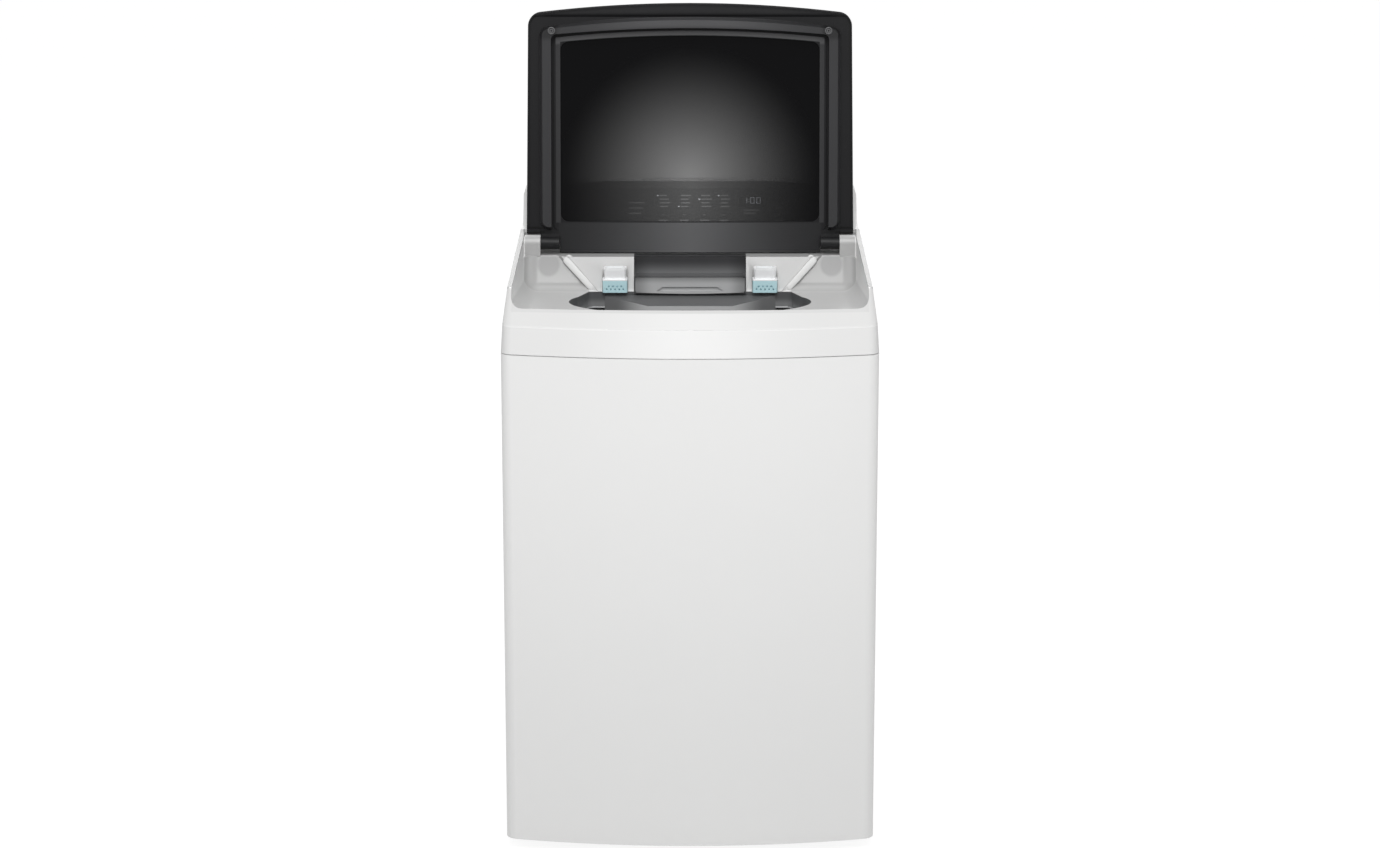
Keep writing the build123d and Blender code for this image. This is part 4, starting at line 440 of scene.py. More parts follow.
@dataclass(frozen=True)
class Perforated(Brushed):
    """Brushed sheet of a drum with rows of round holes in its wall.

    A hole is where the distance to the nearest point of a staggered net, pitch along the wall by
    pitch in height, is less than the hole's radius.
    """

    centre_y: float = -0.028
    wall_r: float = 0.240
    wall_t: float = 0.004
    pitch: float = 0.015
    hole_r: float = 0.0021
    low: float = 0.405
    high: float = 0.765
    blank: Span = (0.688, 0.712)

    def sockets(self, graph: Graph, place: Place) -> Dict:
        """Plain sockets with holes in the Alpha.

        Args:
            graph: the material's graph.
            place: Object coordinates.

        Returns:
            Socket names to values.
        """
        _, x, y, z = place
        y = y - self.centre_y
        along = y.turn(x) * self.wall_r
        row = z / self.pitch
        odd = row.wrap(2.0) > 1.0
        step = 2 * math.pi * self.wall_r / round(2 * math.pi * self.wall_r / self.pitch)
        u = (along + odd * (step / 2)).wrap(step) - step / 2
        v = (row.wrap(1.0) - 0.5) * self.pitch
        hole = u * u + v * v < self.hole_r**2
        wall = x * x + y * y > (self.wall_r - self.wall_t) ** 2
        wall = wall * (z > self.low) * (z < self.high)
        plain = 1 - (z > self.blank[0]) * (z < self.blank[1])
        sockets = super().sockets(graph, place)
        sockets["Alpha"] = 1 - hole * wall * plain
        return sockets


@dataclass(frozen=True)
class CoverShell(Finish):
    """White shell of the top with painted light: a greyer basin, a shaded rear wall and a dark
    mouth collar in painted shade, and painted shade and highlights outside the basin.

    The basin's plan lies inside abs(x) = half - draw * (y - front) and behind
    y = front + bow * (x / half)^2. The mouth is a circle that behind its middle widens to
    abs(x) = mouth_r - mouth_draw * (y - mouth_y) and is cut flat at mouth_rear. A Span is where a
    soft edge begins and ends; a single share is a factor on the shell's own colour.
    """

    half: float = 0.2845
    draw: float = 0.0111
    front: float = -0.272
    bow: float = 0.019
    plan_soft: Span = (0.0, 0.002)
    rim: float = 0.9365
    rim_rise: float = 0.0654
    rim_soft: Span = (0.001, 0.005)
    deck_y: float = 0.1695
    mouth_y: float = -0.060
    mouth_r: float = 0.1986
    mouth_rear: float = 0.0904
    mouth_draw: float = 0.18
    # painted shade: the basin floor is the own colour times this share
    floor: float = 0.82
    rear_y: Span = (0.0885, 0.0945)
    rear_z: Span = (0.868, 0.908)
    # painted shade on the rear wall, one share low down and one higher up
    rear_low_shade: float = 0.47
    rear_high_shade: float = 0.40
    ridge_x: float = 0.160
    ridge_lean: float = 0.93
    ridge_z: float = 0.8565
    # painted highlight: the ridge strips keep the full own colour on faces that lie in shade
    ridge_in: Span = (-0.007, -0.005)
    ridge_out: Span = (0.0095, 0.0065)
    # painted shade on the bulkhead's face
    bulk_shade: float = 0.58
    bulk_in: Span = (0.002, -0.002)
    # painted shade on the rear wall's outer flanks
    flank_shade: float = 0.61
    flank_x: Span = (0.254, 0.274)
    # painted shade on the rounded join of rear wall and floor
    fillet_shade: float = 0.66
    fillet_z: Span = (0.868, 0.861)
    # painted shadow in a round hollow under each hinge
    spot: Span = (0.239, 0.897)
    spot_r: Span = (0.0154, 0.022)
    spot_depth: float = 0.30
    spot_shadow: Colour = (0.0, 0.0, 0.0)
    # painted shade on the hinge posts above the rear wall
    post_shade: float = 0.57
    post_z: Span = (0.9085, 0.9115)
    # painted shadow of the gap under the lid: a dark strip on the deck over the dispenser hood
    hood_half: float = 0.0945
    hood_y: Span = (0.1252, 0.1500)
    hood_z: float = 0.905
    lid_gap_shadow: Colour = (0.03, 0.03, 0.032)
    # painted shade inside the mouth, lighter at the collar's foot
    collar: Colour = (0.115, 0.117, 0.12)
    collar_foot_shade: Colour = (0.25, 0.252, 0.255)
    foot_z: Span = (0.848, 0.835)
    # painted light: below band_z the front band is paler than the slope above
    band_z: float = 0.8725
    band: Colour = (0.92, 0.92, 0.915)
    # painted shade: the shell is dimmer towards its sides
    middle: float = 0.99
    side: float = 0.885
    side_x: float = 0.22
    # painted highlight along the fold at band_z, strongest towards the sides
    crease_highlight: float = 0.98
    crease_w: Span = (0.0018, 0.0006)
    # painted shade at the outer corners
    corner: float = 0.93
    corner_x: Span = (0.286, 0.30)
    # painted light on the rim's inside wall
    inner_light: float = 1.10
    inner_y: Span = (0.030, 0.050)
    inner_in: Span = (-0.004, -0.001)
    inner_out: Span = (0.004, 0.002)
    # painted shade on the rim's top
    rim_top_shade: float = 0.31
    rim_y: Span = (0.0420, 0.0445)
    rim_in: Span = (-0.002, 0.0)
    rim_z: Span = (-0.004, -0.0015)

    def grey(self, share: float) -> Colour:
        """Own colour times a share."""
        return tuple(share * c for c in self.colour)

    def rear(self, graph: Graph, far: Wire, z: Wire) -> Wire:
        """Painted shade on the rear wall of the basin: bulkhead, round dents, the rounded join with
        the floor and the flanks; the ridges keep the full own colour as a painted highlight.

        Args:
            graph: the material's graph.
            far: distance from the middle plane.
            z: height.

        Returns:
            The colour.
        """
        shade = graph.mix(
            graph.span(z, *self.rear_z), self.grey(self.rear_low_shade), self.grey(self.rear_high_shade)
        )
        # painted shadow of the round hollow
        dx, dz = far - self.spot[0], z - self.spot[1]
        dent_shadow = graph.span((dx * dx + dz * dz) ** 0.5, *self.spot_r, self.spot_depth, 0.0)
        shade = graph.mix(dent_shadow, shade, self.spot_shadow)
        shade = graph.mix(graph.span(z, *self.fillet_z), shade, self.grey(self.fillet_shade))
        shade = graph.mix(graph.span(far, *self.flank_x), shade, self.grey(self.flank_shade))
        past = far - (self.ridge_x + self.ridge_lean * (z - self.ridge_z))
        shade = graph.mix(graph.span(past, *self.bulk_in), shade, self.grey(self.bulk_shade))
        ridge = graph.span(past, *self.ridge_in) * graph.span(past, *self.ridge_out)
        return graph.mix(ridge, shade, self.colour)

    def mouth(self, x: Wire, y: Wire) -> Wire:
        """Mask of the mouth.

        Args:
            x: distance to the right.
            y: distance to the rear.

        Returns:
            One inside the mouth's outline, zero elsewhere.
        """
        away = y - self.mouth_y
        narrow = (x.size() + self.mouth_draw * away < self.mouth_r) * (away > 0.0)
        return (x * x + away * away < self.mouth_r**2).top(narrow) * (y < self.mouth_rear)

    def outside(
        self, graph: Graph, z: Wire, far: Wire, back: Wire, beyond: Wire, over: Wire
    ) -> Wire:
        """White outside the basin with painted light: painted shade to the sides, at the corners
        and on the rim's top, paler paint on the front band, and painted highlights along the fold
        at band_z and on the rim's inside wall.

        Args:
            graph: the material's graph.
            z: height.
            far: distance from the middle plane.
            back: distance behind the basin's front edge.
            beyond: distance outside the basin's side edge.
            over: height above the rim.

        Returns:
            The colour.
        """
        share = graph.span(far, 0.0, self.side_x, self.middle, self.side)
        # painted highlight along the fold at band_z
        fold = graph.span((z - self.band_z).size(), *self.crease_w)
        share = share + fold * (self.crease_highlight - share)
        share = share * graph.span(far, *self.corner_x, 1.0, self.corner)
        inner_light = graph.span(beyond, *self.inner_in) * graph.span(beyond, *self.inner_out)
        inner_light = inner_light * graph.span(back, *self.inner_y)
        share = share + inner_light * (self.inner_light - share)
        top = graph.span(beyond, *self.rim_in) * graph.span(over, *self.rim_z)
        top = top * graph.span(back, *self.rim_y)
        share = share + top * (self.rim_top_shade - share)
        return graph.dim(graph.mix(z < self.band_z, self.colour, self.band), share)

    def tone(self, graph: Graph, place: Place) -> Shade:
        """White outside, with painted shade within the basin and darker painted shade in the mouth.

        Args:
            graph: the material's graph.
            place: Object coordinates.

        Returns:
            The colour.
        """
        _, x, y, z = place
        far = x.size()
        edge = self.half - self.draw * (y - self.front)
        back = y - (self.front + (self.bow / self.half**2) * (x * x))
        over = z - (self.rim + self.rim_rise * y)
        inside = graph.span(edge - far, *self.plan_soft) * graph.span(back, *self.plan_soft)
        inside = inside * graph.span(0 - over, *self.rim_soft) * (y < self.deck_y)
        wall = graph.span(y, *self.rear_y)
        shade = graph.mix(wall, self.grey(self.floor), self.rear(graph, far, z))
        shade = graph.mix(graph.span(z, *self.post_z) * wall, shade, self.grey(self.post_shade))
        mouth = self.mouth(x, y)
        # painted shade in the mouth
        collar = graph.mix(graph.span(z, *self.foot_z), self.collar, self.collar_foot_shade)
        shade = graph.mix(mouth, shade, collar)
        # painted shadow strip for the gap under the lid
        hood = (y > self.hood_y[0]) * (y < self.hood_y[1]) * (z > self.hood_z)
        shade = graph.mix(hood * (far < self.hood_half), shade, self.lid_gap_shadow)
        white = self.outside(graph, z, far, back, far - edge, over)
        return graph.mix(inside.top(mouth), white, shade)


@dataclass(frozen=True)
class SmokedGlass(Finish):
    """Tinted glass that is clearest round one point.

    With q = max(0, 1 - r / reach) each face lets through clear * q, and painted light, a glow of
    painted_glow * q^fall, lies over it; r^2 = x^2 + up^2 + core, where heights below the point
    count by the share drop.
    """

    glow_z: float = 1.036
    reach: float = 0.226
    clear: float = 0.372
    painted_glow: float = 0.135
    fall: float = 1.7
    drop: float = 0.35
    core: float = 0.0001

    def near(self, graph: Graph, place: Place) -> Wire:
        """The number q.

        Args:
            graph: the material's graph; not used.
            place: Object coordinates.

        Returns:
            About one at the clear point, zero at reach and beyond.
        """
        _, x, _, z = place
        up = z - self.glow_z
        up = up.top(self.drop * up)
        return (1 - (x * x + up * up + self.core) ** 0.5 / self.reach).top(0.0)

    def tone(self, graph: Graph, place: Place) -> Shade:
        """Black under the painted glow."""
        # painted light: the glass is lighter round the clear point
        glow_colour = tuple(c + self.painted_glow for c in self.colour)
        return graph.mix(self.near(graph, place) ** self.fall, self.colour, glow_colour)

    def sockets(self, graph: Graph, place: Place) -> Dict:
        """Plain sockets with the tint in the Alpha.

        Args:
            graph: the material's graph.
            place: Object coordinates.

        Returns:
            Socket names to values.
        """
        sockets = super().sockets(graph, place)
        sockets["Alpha"] = 1 - self.clear * self.near(graph, place)
        sockets["Roughness"] = self.rough
        return sockets


@dataclass(frozen=True)
class LidBlack(Finish):
    """Black moulding whose hinge band is painted lighter, brightest in the middle, as if lit from
    behind the glass.

    The painted light on the band falls as exp(-(x / spread)^fall). The glass ends at abs(x) =
    glass_half and under the arch z = glass_top - glass_bow * (x / glass_half)^2.
    """

    band_top: float = 0.9630
    band_half: float = 0.2225
    spread: float = 0.115
    fall: float = 1.6
    # painted light on the hinge band
    lit: Colour = (0.128, 0.129, 0.133)
    turn_z: Span = (1.306, 1.314)
    # painted highlight on the lid's top edge
    turned_highlight: Colour = (0.055, 0.055, 0.057)
    glass_half: float = 0.219
    glass_top: float = 1.2756
    glass_bow: float = 0.011
    ring_w: float = 0.0078
    ring: Colour = (0.040, 0.040, 0.042)
    # painted highlight: the ring round the glass grows lighter towards its top
    ring_top_highlight: Colour = (0.105, 0.105, 0.108)
    ring_rise: Span = (-0.006, 0.0)
    crest_low: Span = (0.0205, 0.0215)
    crest_high: Span = (0.0305, 0.0295)
    crest_x: Span = (0.21, 0.03)
    # painted highlight on the crest over the glass
    crest_lit: Colour = (0.075, 0.075, 0.078)
    lip_half: float = 0.2465
    lip_z: Span = (0.9485, 0.9537)
    line_w: float = 0.0016
    # painted shadow: a line over each lower corner lip and dark paint below it
    line: Colour = (0.002, 0.002, 0.002)

    def tone(self, graph: Graph, place: Place) -> Shade:
        """Black, greyer round the glass, with painted highlights on the ring's upper part, the
        crest and the top edge, painted shadow lines at the corner lips and painted light on the
        hinge band.

        Args:
            graph: the material's graph.
            place: Object coordinates.

        Returns:
            The colour.
        """
        _, x, _, z = place
        far = x.size()
        band = (z < self.band_top) * (far < self.band_half)
        glow = (0 - (far / self.spread) ** self.fall).exp()
        body = graph.mix(graph.span(z, *self.turn_z), self.colour, self.turned_highlight)
        arch = z - self.glass_top + (self.glass_bow / self.glass_half**2) * (x * x)
        crest = graph.span(arch, *self.crest_low) * graph.span(arch, *self.crest_high)
        body = graph.mix(crest * graph.span(far, *self.crest_x), body, self.crest_lit)
        past = (far - self.glass_half).top(arch)
        beside = (past > 0.0) * (past < self.ring_w) * (z > self.band_top)
        ring = graph.mix(graph.span(arch, *self.ring_rise), self.ring, self.ring_top_highlight)
        body = graph.mix(beside, body, ring)
        foot, head = self.lip_z
        line = ((z - head).size() < self.line_w).top(z < foot) * (far > self.lip_half)
        return graph.mix(band * glow, graph.mix(line, body, self.line), self.lit)


@dataclass(frozen=True)
class LidTrim(Finish):
    """Black trim with painted shade at its two upper corners and a painted highlight in the middle
    of its top bar.

    The top bar follows z = crown_z - bow * (x / half)^2.
    """

    corner_x: Span = (0.218, 0.228)
    corner_z: Span = (1.266, 1.276)
    # painted shade at the two upper corners
    corner: Colour = (0.013, 0.013, 0.014)
    crown_z: Span = (1.287, 1.296)
    crown_x: Span = (0.212, 0.040)
    bow: float = 0.011
    half: float = 0.219
    # painted highlight in the middle of the top bar
    crown_highlight: Colour = (0.072, 0.072, 0.075)

    def tone(self, graph: Graph, place: Place) -> Shade:
        """Painted shade where a point is both far out and high, a painted highlight on the top bar.

        Args:
            graph: the material's graph.
            place: Object coordinates.

        Returns:
            The colour.
        """
        _, x, _, z = place
        far = graph.span(x.size(), *self.corner_x) * graph.span(z, *self.corner_z)
        arch = z + (self.bow / self.half**2) * (x * x)
        bar = graph.span(arch, *self.crown_z) * graph.span(x.size(), *self.crown_x)
        return graph.mix(bar, graph.mix(far, self.colour, self.corner), self.crown_highlight)


@dataclass(frozen=True)
class Chute(Finish):
    """Fill chute in painted light and shade: a dark deck in painted shade over a pale face below
    it, painted as lit.

    The deck is the plane z = deck_z + fall * (y - deck_y).
    """

    # painted light below the deck's edge, and painted shade out along the wings
    apron_lit: Colour = (0.60, 0.605, 0.61)
    wing_shade: Colour = (0.19, 0.192, 0.195)
    wing_x: Span = (0.067, 0.126)
    deck_y: float = 0.050
    deck_z: float = 0.841
    fall: float = 0.25
    edge: Span = (0.0004, 0.0012)

    def tone(self, graph: Graph, place: Place) -> Shade:
        """Painted shade on the deck, painted light below its edge, greyer out along the wings as
        painted shade.

        Args:
            graph: the material's graph.
            place: Object coordinates.

        Returns:
            The colour.
        """
        _, x, y, z = place
        below = self.deck_z - self.fall * self.deck_y + self.fall * y - z
        # painted light below the deck's edge, darker along the wings
        pale = graph.mix(graph.span(x.size(), *self.wing_x), self.apron_lit, self.wing_shade)
        return graph.mix(graph.span(below, *self.edge), self.colour, pale)


@dataclass(frozen=True)
class Stator(Finish):
    """Motor: stacked sheets in the middle of its height, paint above and below."""

    low: float = 0.222
    high: float = 0.288
    sheet: float = 0.0012
    iron: Colour = (0.16, 0.165, 0.17)
    gap: float = 0.6

    def tone(self, graph: Graph, place: Place) -> Shade:
        """Sheets between the two heights, paint elsewhere.

        Args:
            graph: the material's graph.
            place: Object coordinates.

        Returns:
            The colour.
        """
        z = place[3]
        stack = (z > self.low) * (z < self.high)
        darker = tuple(self.gap * c for c in self.iron)
        lines = graph.mix(z.wrap(self.sheet) > self.sheet / 2, self.iron, darker)
        return graph.mix(stack, self.colour, lines)


@dataclass(frozen=True)
class Ribbed(Finish):
    """Rubber with fine ribs along the way round."""

    pitch: float = 0.0022

    def height(self, graph: Graph, place: Place) -> Wire:
        """Sine over the height."""
        return 0.5 + 0.5 * (place[3] * (2 * math.pi / self.pitch)).wave()


@dataclass(frozen=True)
class Board(Finish):
    """Circuit board: green lacquer over straight copper tracks."""

    track: Colour = (0.05, 0.22, 0.09)
    track_scale: Point = (40.0, 300.0, 300.0)
    track_edge: Span = (0.50, 0.54)

    def tone(self, graph: Graph, place: Place) -> Shade:
        """Tracks where stretched noise is high."""
        run = graph.noise(graph.stretch(place[0], self.track_scale), 1.0, detail=0.0)
        return graph.mix(graph.span(run, *self.track_edge), self.colour, self.track)


# painted shade: the enamel is 0.85 at the top and falls to 0.765 at the bottom, for light that
# falls off down the cabinet
ENAMEL = Fade(
    "enamel",
    (0.765, 0.765, 0.76),
    0.40,
    coat=0.2,
    drift=0.006,
    grain=0.00003,
    grain_scale=500.0,
    other=(0.85, 0.85, 0.845),
    begin=0.02,
    end=0.82,
)
SHELL = Finish("shell_white", (0.83, 0.83, 0.825), 0.33, coat=0.15, drift=0.005)
COVER = CoverShell("cover_white", (0.83, 0.83, 0.825), 0.34, coat=0.15, drift=0.005)
BEAD = Finish("bead_white", (0.84, 0.84, 0.835), 0.34, coat=0.15, drift=0.005)
ZINC = Spangled("zinc_sheet", (0.62, 0.64, 0.65), 0.45, metal=0.75, drift=0.04)
STEEL = Brushed("plated_steel", (0.60, 0.60, 0.60), 0.32, metal=1.0, drift=0.04)
STAINLESS = Perforated("stainless", (0.66, 0.66, 0.66), 0.36, metal=1.0, drift=0.02)
CAST = Finish(
    "cast_alloy",
    (0.52, 0.53, 0.54),
    0.5,
    metal=0.9,
    drift=0.06,
    grain=0.0001,
    grain_scale=300.0,
)
STATOR = Stator("motor_paint", (0.03, 0.032, 0.035), 0.5, drift=0.08)
RUBBER = Finish("rubber", (0.022, 0.022, 0.022), 0.72, drift=0.1, grain=0.00008)
BELT = Ribbed("belt_rubber", (0.020, 0.020, 0.021), 0.65, drift=0.1, grain=0.0003)
NATURAL = Finish("natural_white", (0.72, 0.72, 0.70), 0.45, drift=0.03)
RING = Finish("splash_ring", (0.40, 0.405, 0.41), 0.45, drift=0.02)
GREY = Finish("grey_moulding", (0.42, 0.43, 0.44), 0.38, drift=0.02)
# painted shade: the hood goes from grey low down to near black at its top, under the lid, and
# darker towards both ends
HOOD = Pocket(
    "hood_grey",
    (0.20, 0.203, 0.207),
    0.42,
    shine=0.08,
    drift=0.02,
    other=(0.026, 0.026, 0.028),
    begin=0.872,
    end=0.906,
)
# painted shade: the drawer is darker along its top edge and towards both ends
DRAWER = Pocket(
    "drawer_grey",
    (0.53, 0.535, 0.54),
    0.36,
    drift=0.02,
    other=(0.27, 0.273, 0.276),
    begin=0.870,
    end=0.884,
)
# painted shade: the chute's own colour is the dark of its deck
CHUTE = Chute("chute_grey", (0.125, 0.127, 0.13), 0.42, drift=0.03)
PALE = Finish("pale_grey", (0.62, 0.63, 0.64), 0.35, drift=0.02)
DARK = Finish("dark_grey", (0.045, 0.047, 0.05), 0.45, drift=0.05)
BLUE = Finish("pale_blue", (0.64, 0.92, 0.98), 0.25, coat=0.3, drift=0.02)
# painted light: the white caps glow a little, though they are no lamp
WHITE = Glowing("white_cap", (0.92, 0.93, 0.94), 0.3, drift=0.01, power=0.1)
FRAME = LidBlack("lid_black", (0.011, 0.011, 0.012), 0.36, shine=0.16, drift=0.05)
TRIM = LidTrim("trim_black", (0.032, 0.032, 0.034), 0.40, shine=0.25, drift=0.05)
BOSS = Finish("boss_grey", (0.085, 0.085, 0.088), 0.32, drift=0.04)
SATIN = Finish("black_satin", (0.013, 0.013, 0.014), 0.42, shine=0.22, drift=0.05)
FASCIA = Finish("fascia_grey", (0.38, 0.384, 0.39), 0.38, coat=0.1, drift=0.006)
WINDOW = Finish("window_black", (0.010, 0.010, 0.012), 0.12, drift=0.05)
KEY = Finish("key_grey", (0.20, 0.203, 0.21), 0.34, drift=0.03)
# painted light: the printed legends glow, though they are no lamp
INK = Glowing("legend_ink", (0.85, 0.85, 0.86), 0.5, drift=0.02, power=0.7)
DIGIT = Glowing("digit_light", (0.90, 0.93, 1.0), 0.5, drift=0.01, power=2.3)
LAMP = Glowing("status_light", (0.95, 0.97, 1.0), 0.4, drift=0.01, power=3.0)
BOARD = Board("circuit_board", (0.018, 0.11, 0.045), 0.4)
HOT = Fade(
    "hot_inlet",
    (0.70, 0.70, 0.69),
    0.4,
    other=(0.55, 0.06, 0.05),
    axis=Axis.Y,
    begin=0.284,
    end=0.287,
)
COLD = replace(HOT, name="cold_inlet", other=(0.05, 0.14, 0.45))
GLASS = SmokedGlass("smoked_glass", (0.003, 0.003, 0.0035), 0.05, shine=0.06, grain=0.0)


def soften(piece: bpy.types.Object, edge: float) -> None:
    """Weld the triangles, round the sharp edges and shade smooth, with flat faces kept flat.

    Args:
        piece: the object.
        edge: width of the rounded edges in millimetres, zero for none.
    """
    weld = piece.modifiers.new("weld", "WELD")
    weld.merge_threshold = WELD_GAP
    if edge > 0:
        bevel = piece.modifiers.new("edge", "BEVEL")
        bevel.width = edge * MM
        bevel.segments = ROUNDED_STEPS
        bevel.limit_method = "ANGLE"
        bevel.angle_limit = math.radians(SHARP_ANGLE)
    split = piece.modifiers.new("split", "EDGE_SPLIT")
    split.split_angle = math.radians(ROUNDED_ANGLE if edge > 0 else SHARP_ANGLE)
    level = piece.modifiers.new("level", "WEIGHTED_NORMAL")
    level.keep_sharp = True
    smooth = np.ones(len(piece.data.polygons), dtype=bool)
    piece.data.polygons.foreach_set("use_smooth", smooth)


def grid_faces(rows: int, columns: int, close: Close) -> np.ndarray:
    """Corner numbers of the quads of a grid, numbered row by row.

    Args:
        rows: points along the first direction.
        columns: points along the second direction.
        close: which directions join up.

    Returns:
        One line of four numbers for each quad.
    """
    i = np.arange(rows if close.value[0] else rows - 1)
    j = np.arange(columns if close.value[1] else columns - 1)
    i, j = np.meshgrid(i, j, indexing="ij")
    far_i, far_j = (i + 1) % rows, (j + 1) % columns
    corners = [i * columns + j, i * columns + far_j, far_i * columns + far_j, far_i * columns + j]
    return np.stack(corners, axis=-1).reshape(-1, 4)


def piece_of(
    name: str, grids: Sequence[np.ndarray], close: Close, smooth: bool = True
) -> bpy.types.Object:
    """One object from grids of points.

    Args:
        name: the object's name.
        grids: arrays of rows by columns by three, in metres.
        close: which directions join up.
        smooth: shade the faces smooth.

    Returns:
        The object, linked into the scene.
    """
    points, faces, start = [], [], 0
    for grid in grids:
        points.append(grid.reshape(-1, 3))
        faces.append(grid_faces(grid.shape[0], grid.shape[1], close) + start)
        start += grid.shape[0] * grid.shape[1]
    mesh = bpy.data.meshes.new(name)
    mesh.from_pydata(np.concatenate(points), [], np.concatenate(faces))
    mesh.polygons.foreach_set("use_smooth", np.full(len(mesh.polygons), smooth))
    mesh.update()
    made = bpy.data.objects.new(name, mesh)
    bpy.context.scene.collection.objects.link(made)
    return made


class Dress:
    """Puts finishes on solids and pieces; each finish is made once."""

    def __init__(self) -> None:
        """Start with no finish made."""
        self.made: Dict[Finish, bpy.types.Material] = {}

    def material(self, finish: Finish) -> bpy.types.Material:
        """Material of a finish, made once.

        Args:
            finish: the finish.

        Returns:
            Its material.
        """
        if finish not in self.made:
            self.made[finish] = finish.material()
        return self.made[finish]

    def solid(self, node: str, finish: Finish, edge: float = 0.0) -> None:
        """Dress one solid.

        Args:
            node: the solid's name.
            finish: its finish.
            edge: width of the rounded edges in millimetres, zero for none.
        """
        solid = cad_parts[node]
        solid.data.materials.clear()
        solid.data.materials.append(self.material(finish))
        soften(solid, edge)
        log.info("solid %s: %s", node, finish.name)

    def piece(self, made: bpy.types.Object, finish: Finish) -> bpy.types.Object:
        """Dress one new piece.

        Args:
            made: the piece.
            finish: its finish.

        Returns:
            The piece.
        """
        made.data.materials.append(self.material(finish))
        log.info("piece %s: %s", made.name, finish.name)
        return made


@dataclass
class Cabinet:
    """Steel wrap, back, base and feet."""

    screw_edge: float = 0.3

    def dress(self, dress: Dress) -> None:
        """Dress the solids.

        Args:
            dress: puts finishes on solids and pieces.
        """
        dress.solid("cabinet_wrap", ENAMEL)
        dress.solid("back_panel", ZINC)
        dress.solid("back_screws", STEEL, self.screw_edge)
        dress.solid("base_frame", DARK)
        for node in ("rear_feet", "front_foot_left", "front_foot_right", "cord_gland"):
            dress.solid(node, RUBBER)


@dataclass
class Suspension:
    """Four hanging rods with their springs; the springs are drawn as coils, in millimetres."""

    spring_r: float = 15.0
    wire: float = 1.7
    turns: float = 5.5
    flat: float = 0.75
    tip: float = 0.02
    per_turn: int = 28
    sides: int = 10

    def coil(self, centre: np.ndarray, low: float, high: float, radius: float) -> np.ndarray:
        """Tube round a helix: c + radius * (cos t, sin t, 0) + t * rise, with flat end turns.

        Args:
            centre: plan position.
            low: height of the lower end.
            high: height of the upper end.
            radius: radius of the helix.

        Returns:
            Grid of points along the wire by round the wire.
        """
        count = int(self.turns * self.per_turn)
        t = np.linspace(0.0, 2 * np.pi * self.turns, count)
        share = np.clip((t / (2 * np.pi) - self.flat) / (self.turns - 2 * self.flat), 0.0, 1.0)
        thick = self.wire * MM
        out = np.stack([np.cos(t), np.sin(t), np.zeros_like(t)], axis=-1)
        path = centre + radius * out
        path[:, 2] = low + thick + share * (high - low - 2 * thick)
        run = np.gradient(path, axis=0)
        run /= np.linalg.norm(run, axis=1, keepdims=True)
        side = np.cross(run, out)
        phi = np.linspace(0.0, 2 * np.pi, self.sides, endpoint=False)
        reach = np.full(count, thick)
        reach[[0, -1]] = thick * self.tip
        phi = phi[None, :, None]
        around = np.cos(phi) * out[:, None, :] + np.sin(phi) * side[:, None, :]
        return path[:, None, :] + reach[:, None, None] * around

    def build(self, dress: Dress) -> None:
        """Coils between the lower washers and the bells.

        Args:
            dress: puts finishes on solids and pieces.
        """
        low, high = (np.array(corner, float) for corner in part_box("suspension_springs"))
        spring_r = self.spring_r * MM
        radius = spring_r - self.wire * MM
        xs = (low[0] + spring_r, high[0] - spring_r)
        ys = (low[1] + spring_r, high[1] - spring_r)
        centres = [np.array((x, y, 0.0)) for x in xs for y in ys]
        coils = [self.coil(centre, low[2], high[2], radius) for centre in centres]
        made = dress.piece(piece_of("spring_coils", coils, Close.TUBE), STEEL)
        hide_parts("suspension_springs")
        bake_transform(made)

    def dress(self, dress: Dress) -> None:
        """Dress the solids.

        Args:
            dress: puts finishes on solids and pieces.
        """
        dress.solid("suspension_brackets", STEEL)
        dress.solid("suspension_rods", STEEL)
        dress.solid("spring_bells", NATURAL)


@dataclass
class Tub:
    """Outer tub with what is bolted to it."""

    ring_edge: float = 1.0

    def dress(self, dress: Dress) -> None:
        """Dress the solids.

        Args:
            dress: puts finishes on solids and pieces.
        """
        dress.solid("outer_tub", NATURAL)
        dress.solid("tub_ring", RING, self.ring_edge)
        dress.solid("tub_bracket", STEEL)
        dress.solid("tub_bearing", STEEL)
        dress.solid("shaft_seal", RUBBER)


@dataclass
class Basket:
    """Spinning basket, balance ring and pulsator."""

    fin_edge: float = 0.8

    def dress(self, dress: Dress) -> None:
        """Dress the solids.

        Args:
            dress: puts finishes on solids and pieces.
        """
        dress.solid("wash_basket", STAINLESS)
        dress.solid("balance_ring", GREY)
        dress.solid("basket_hub", CAST)
        dress.solid("spin_tube", STEEL)
        dress.solid("pulsator", PALE, self.fin_edge)
        dress.solid("pulsator_cap", GREY)
        dress.solid("wash_shaft", STEEL)


@dataclass
class Drive:
    """Motor, belt, pulleys and gearbox."""

    def dress(self, dress: Dress) -> None:
        """Dress the solids.

        Args:
            dress: puts finishes on solids and pieces.
        """
        for node in ("gearbox", "driven_pulley", "motor_pulley"):
            dress.solid(node, CAST)
        dress.solid("input_shaft", STEEL)
        dress.solid("drive_belt", BELT)
        dress.solid("motor", STATOR)


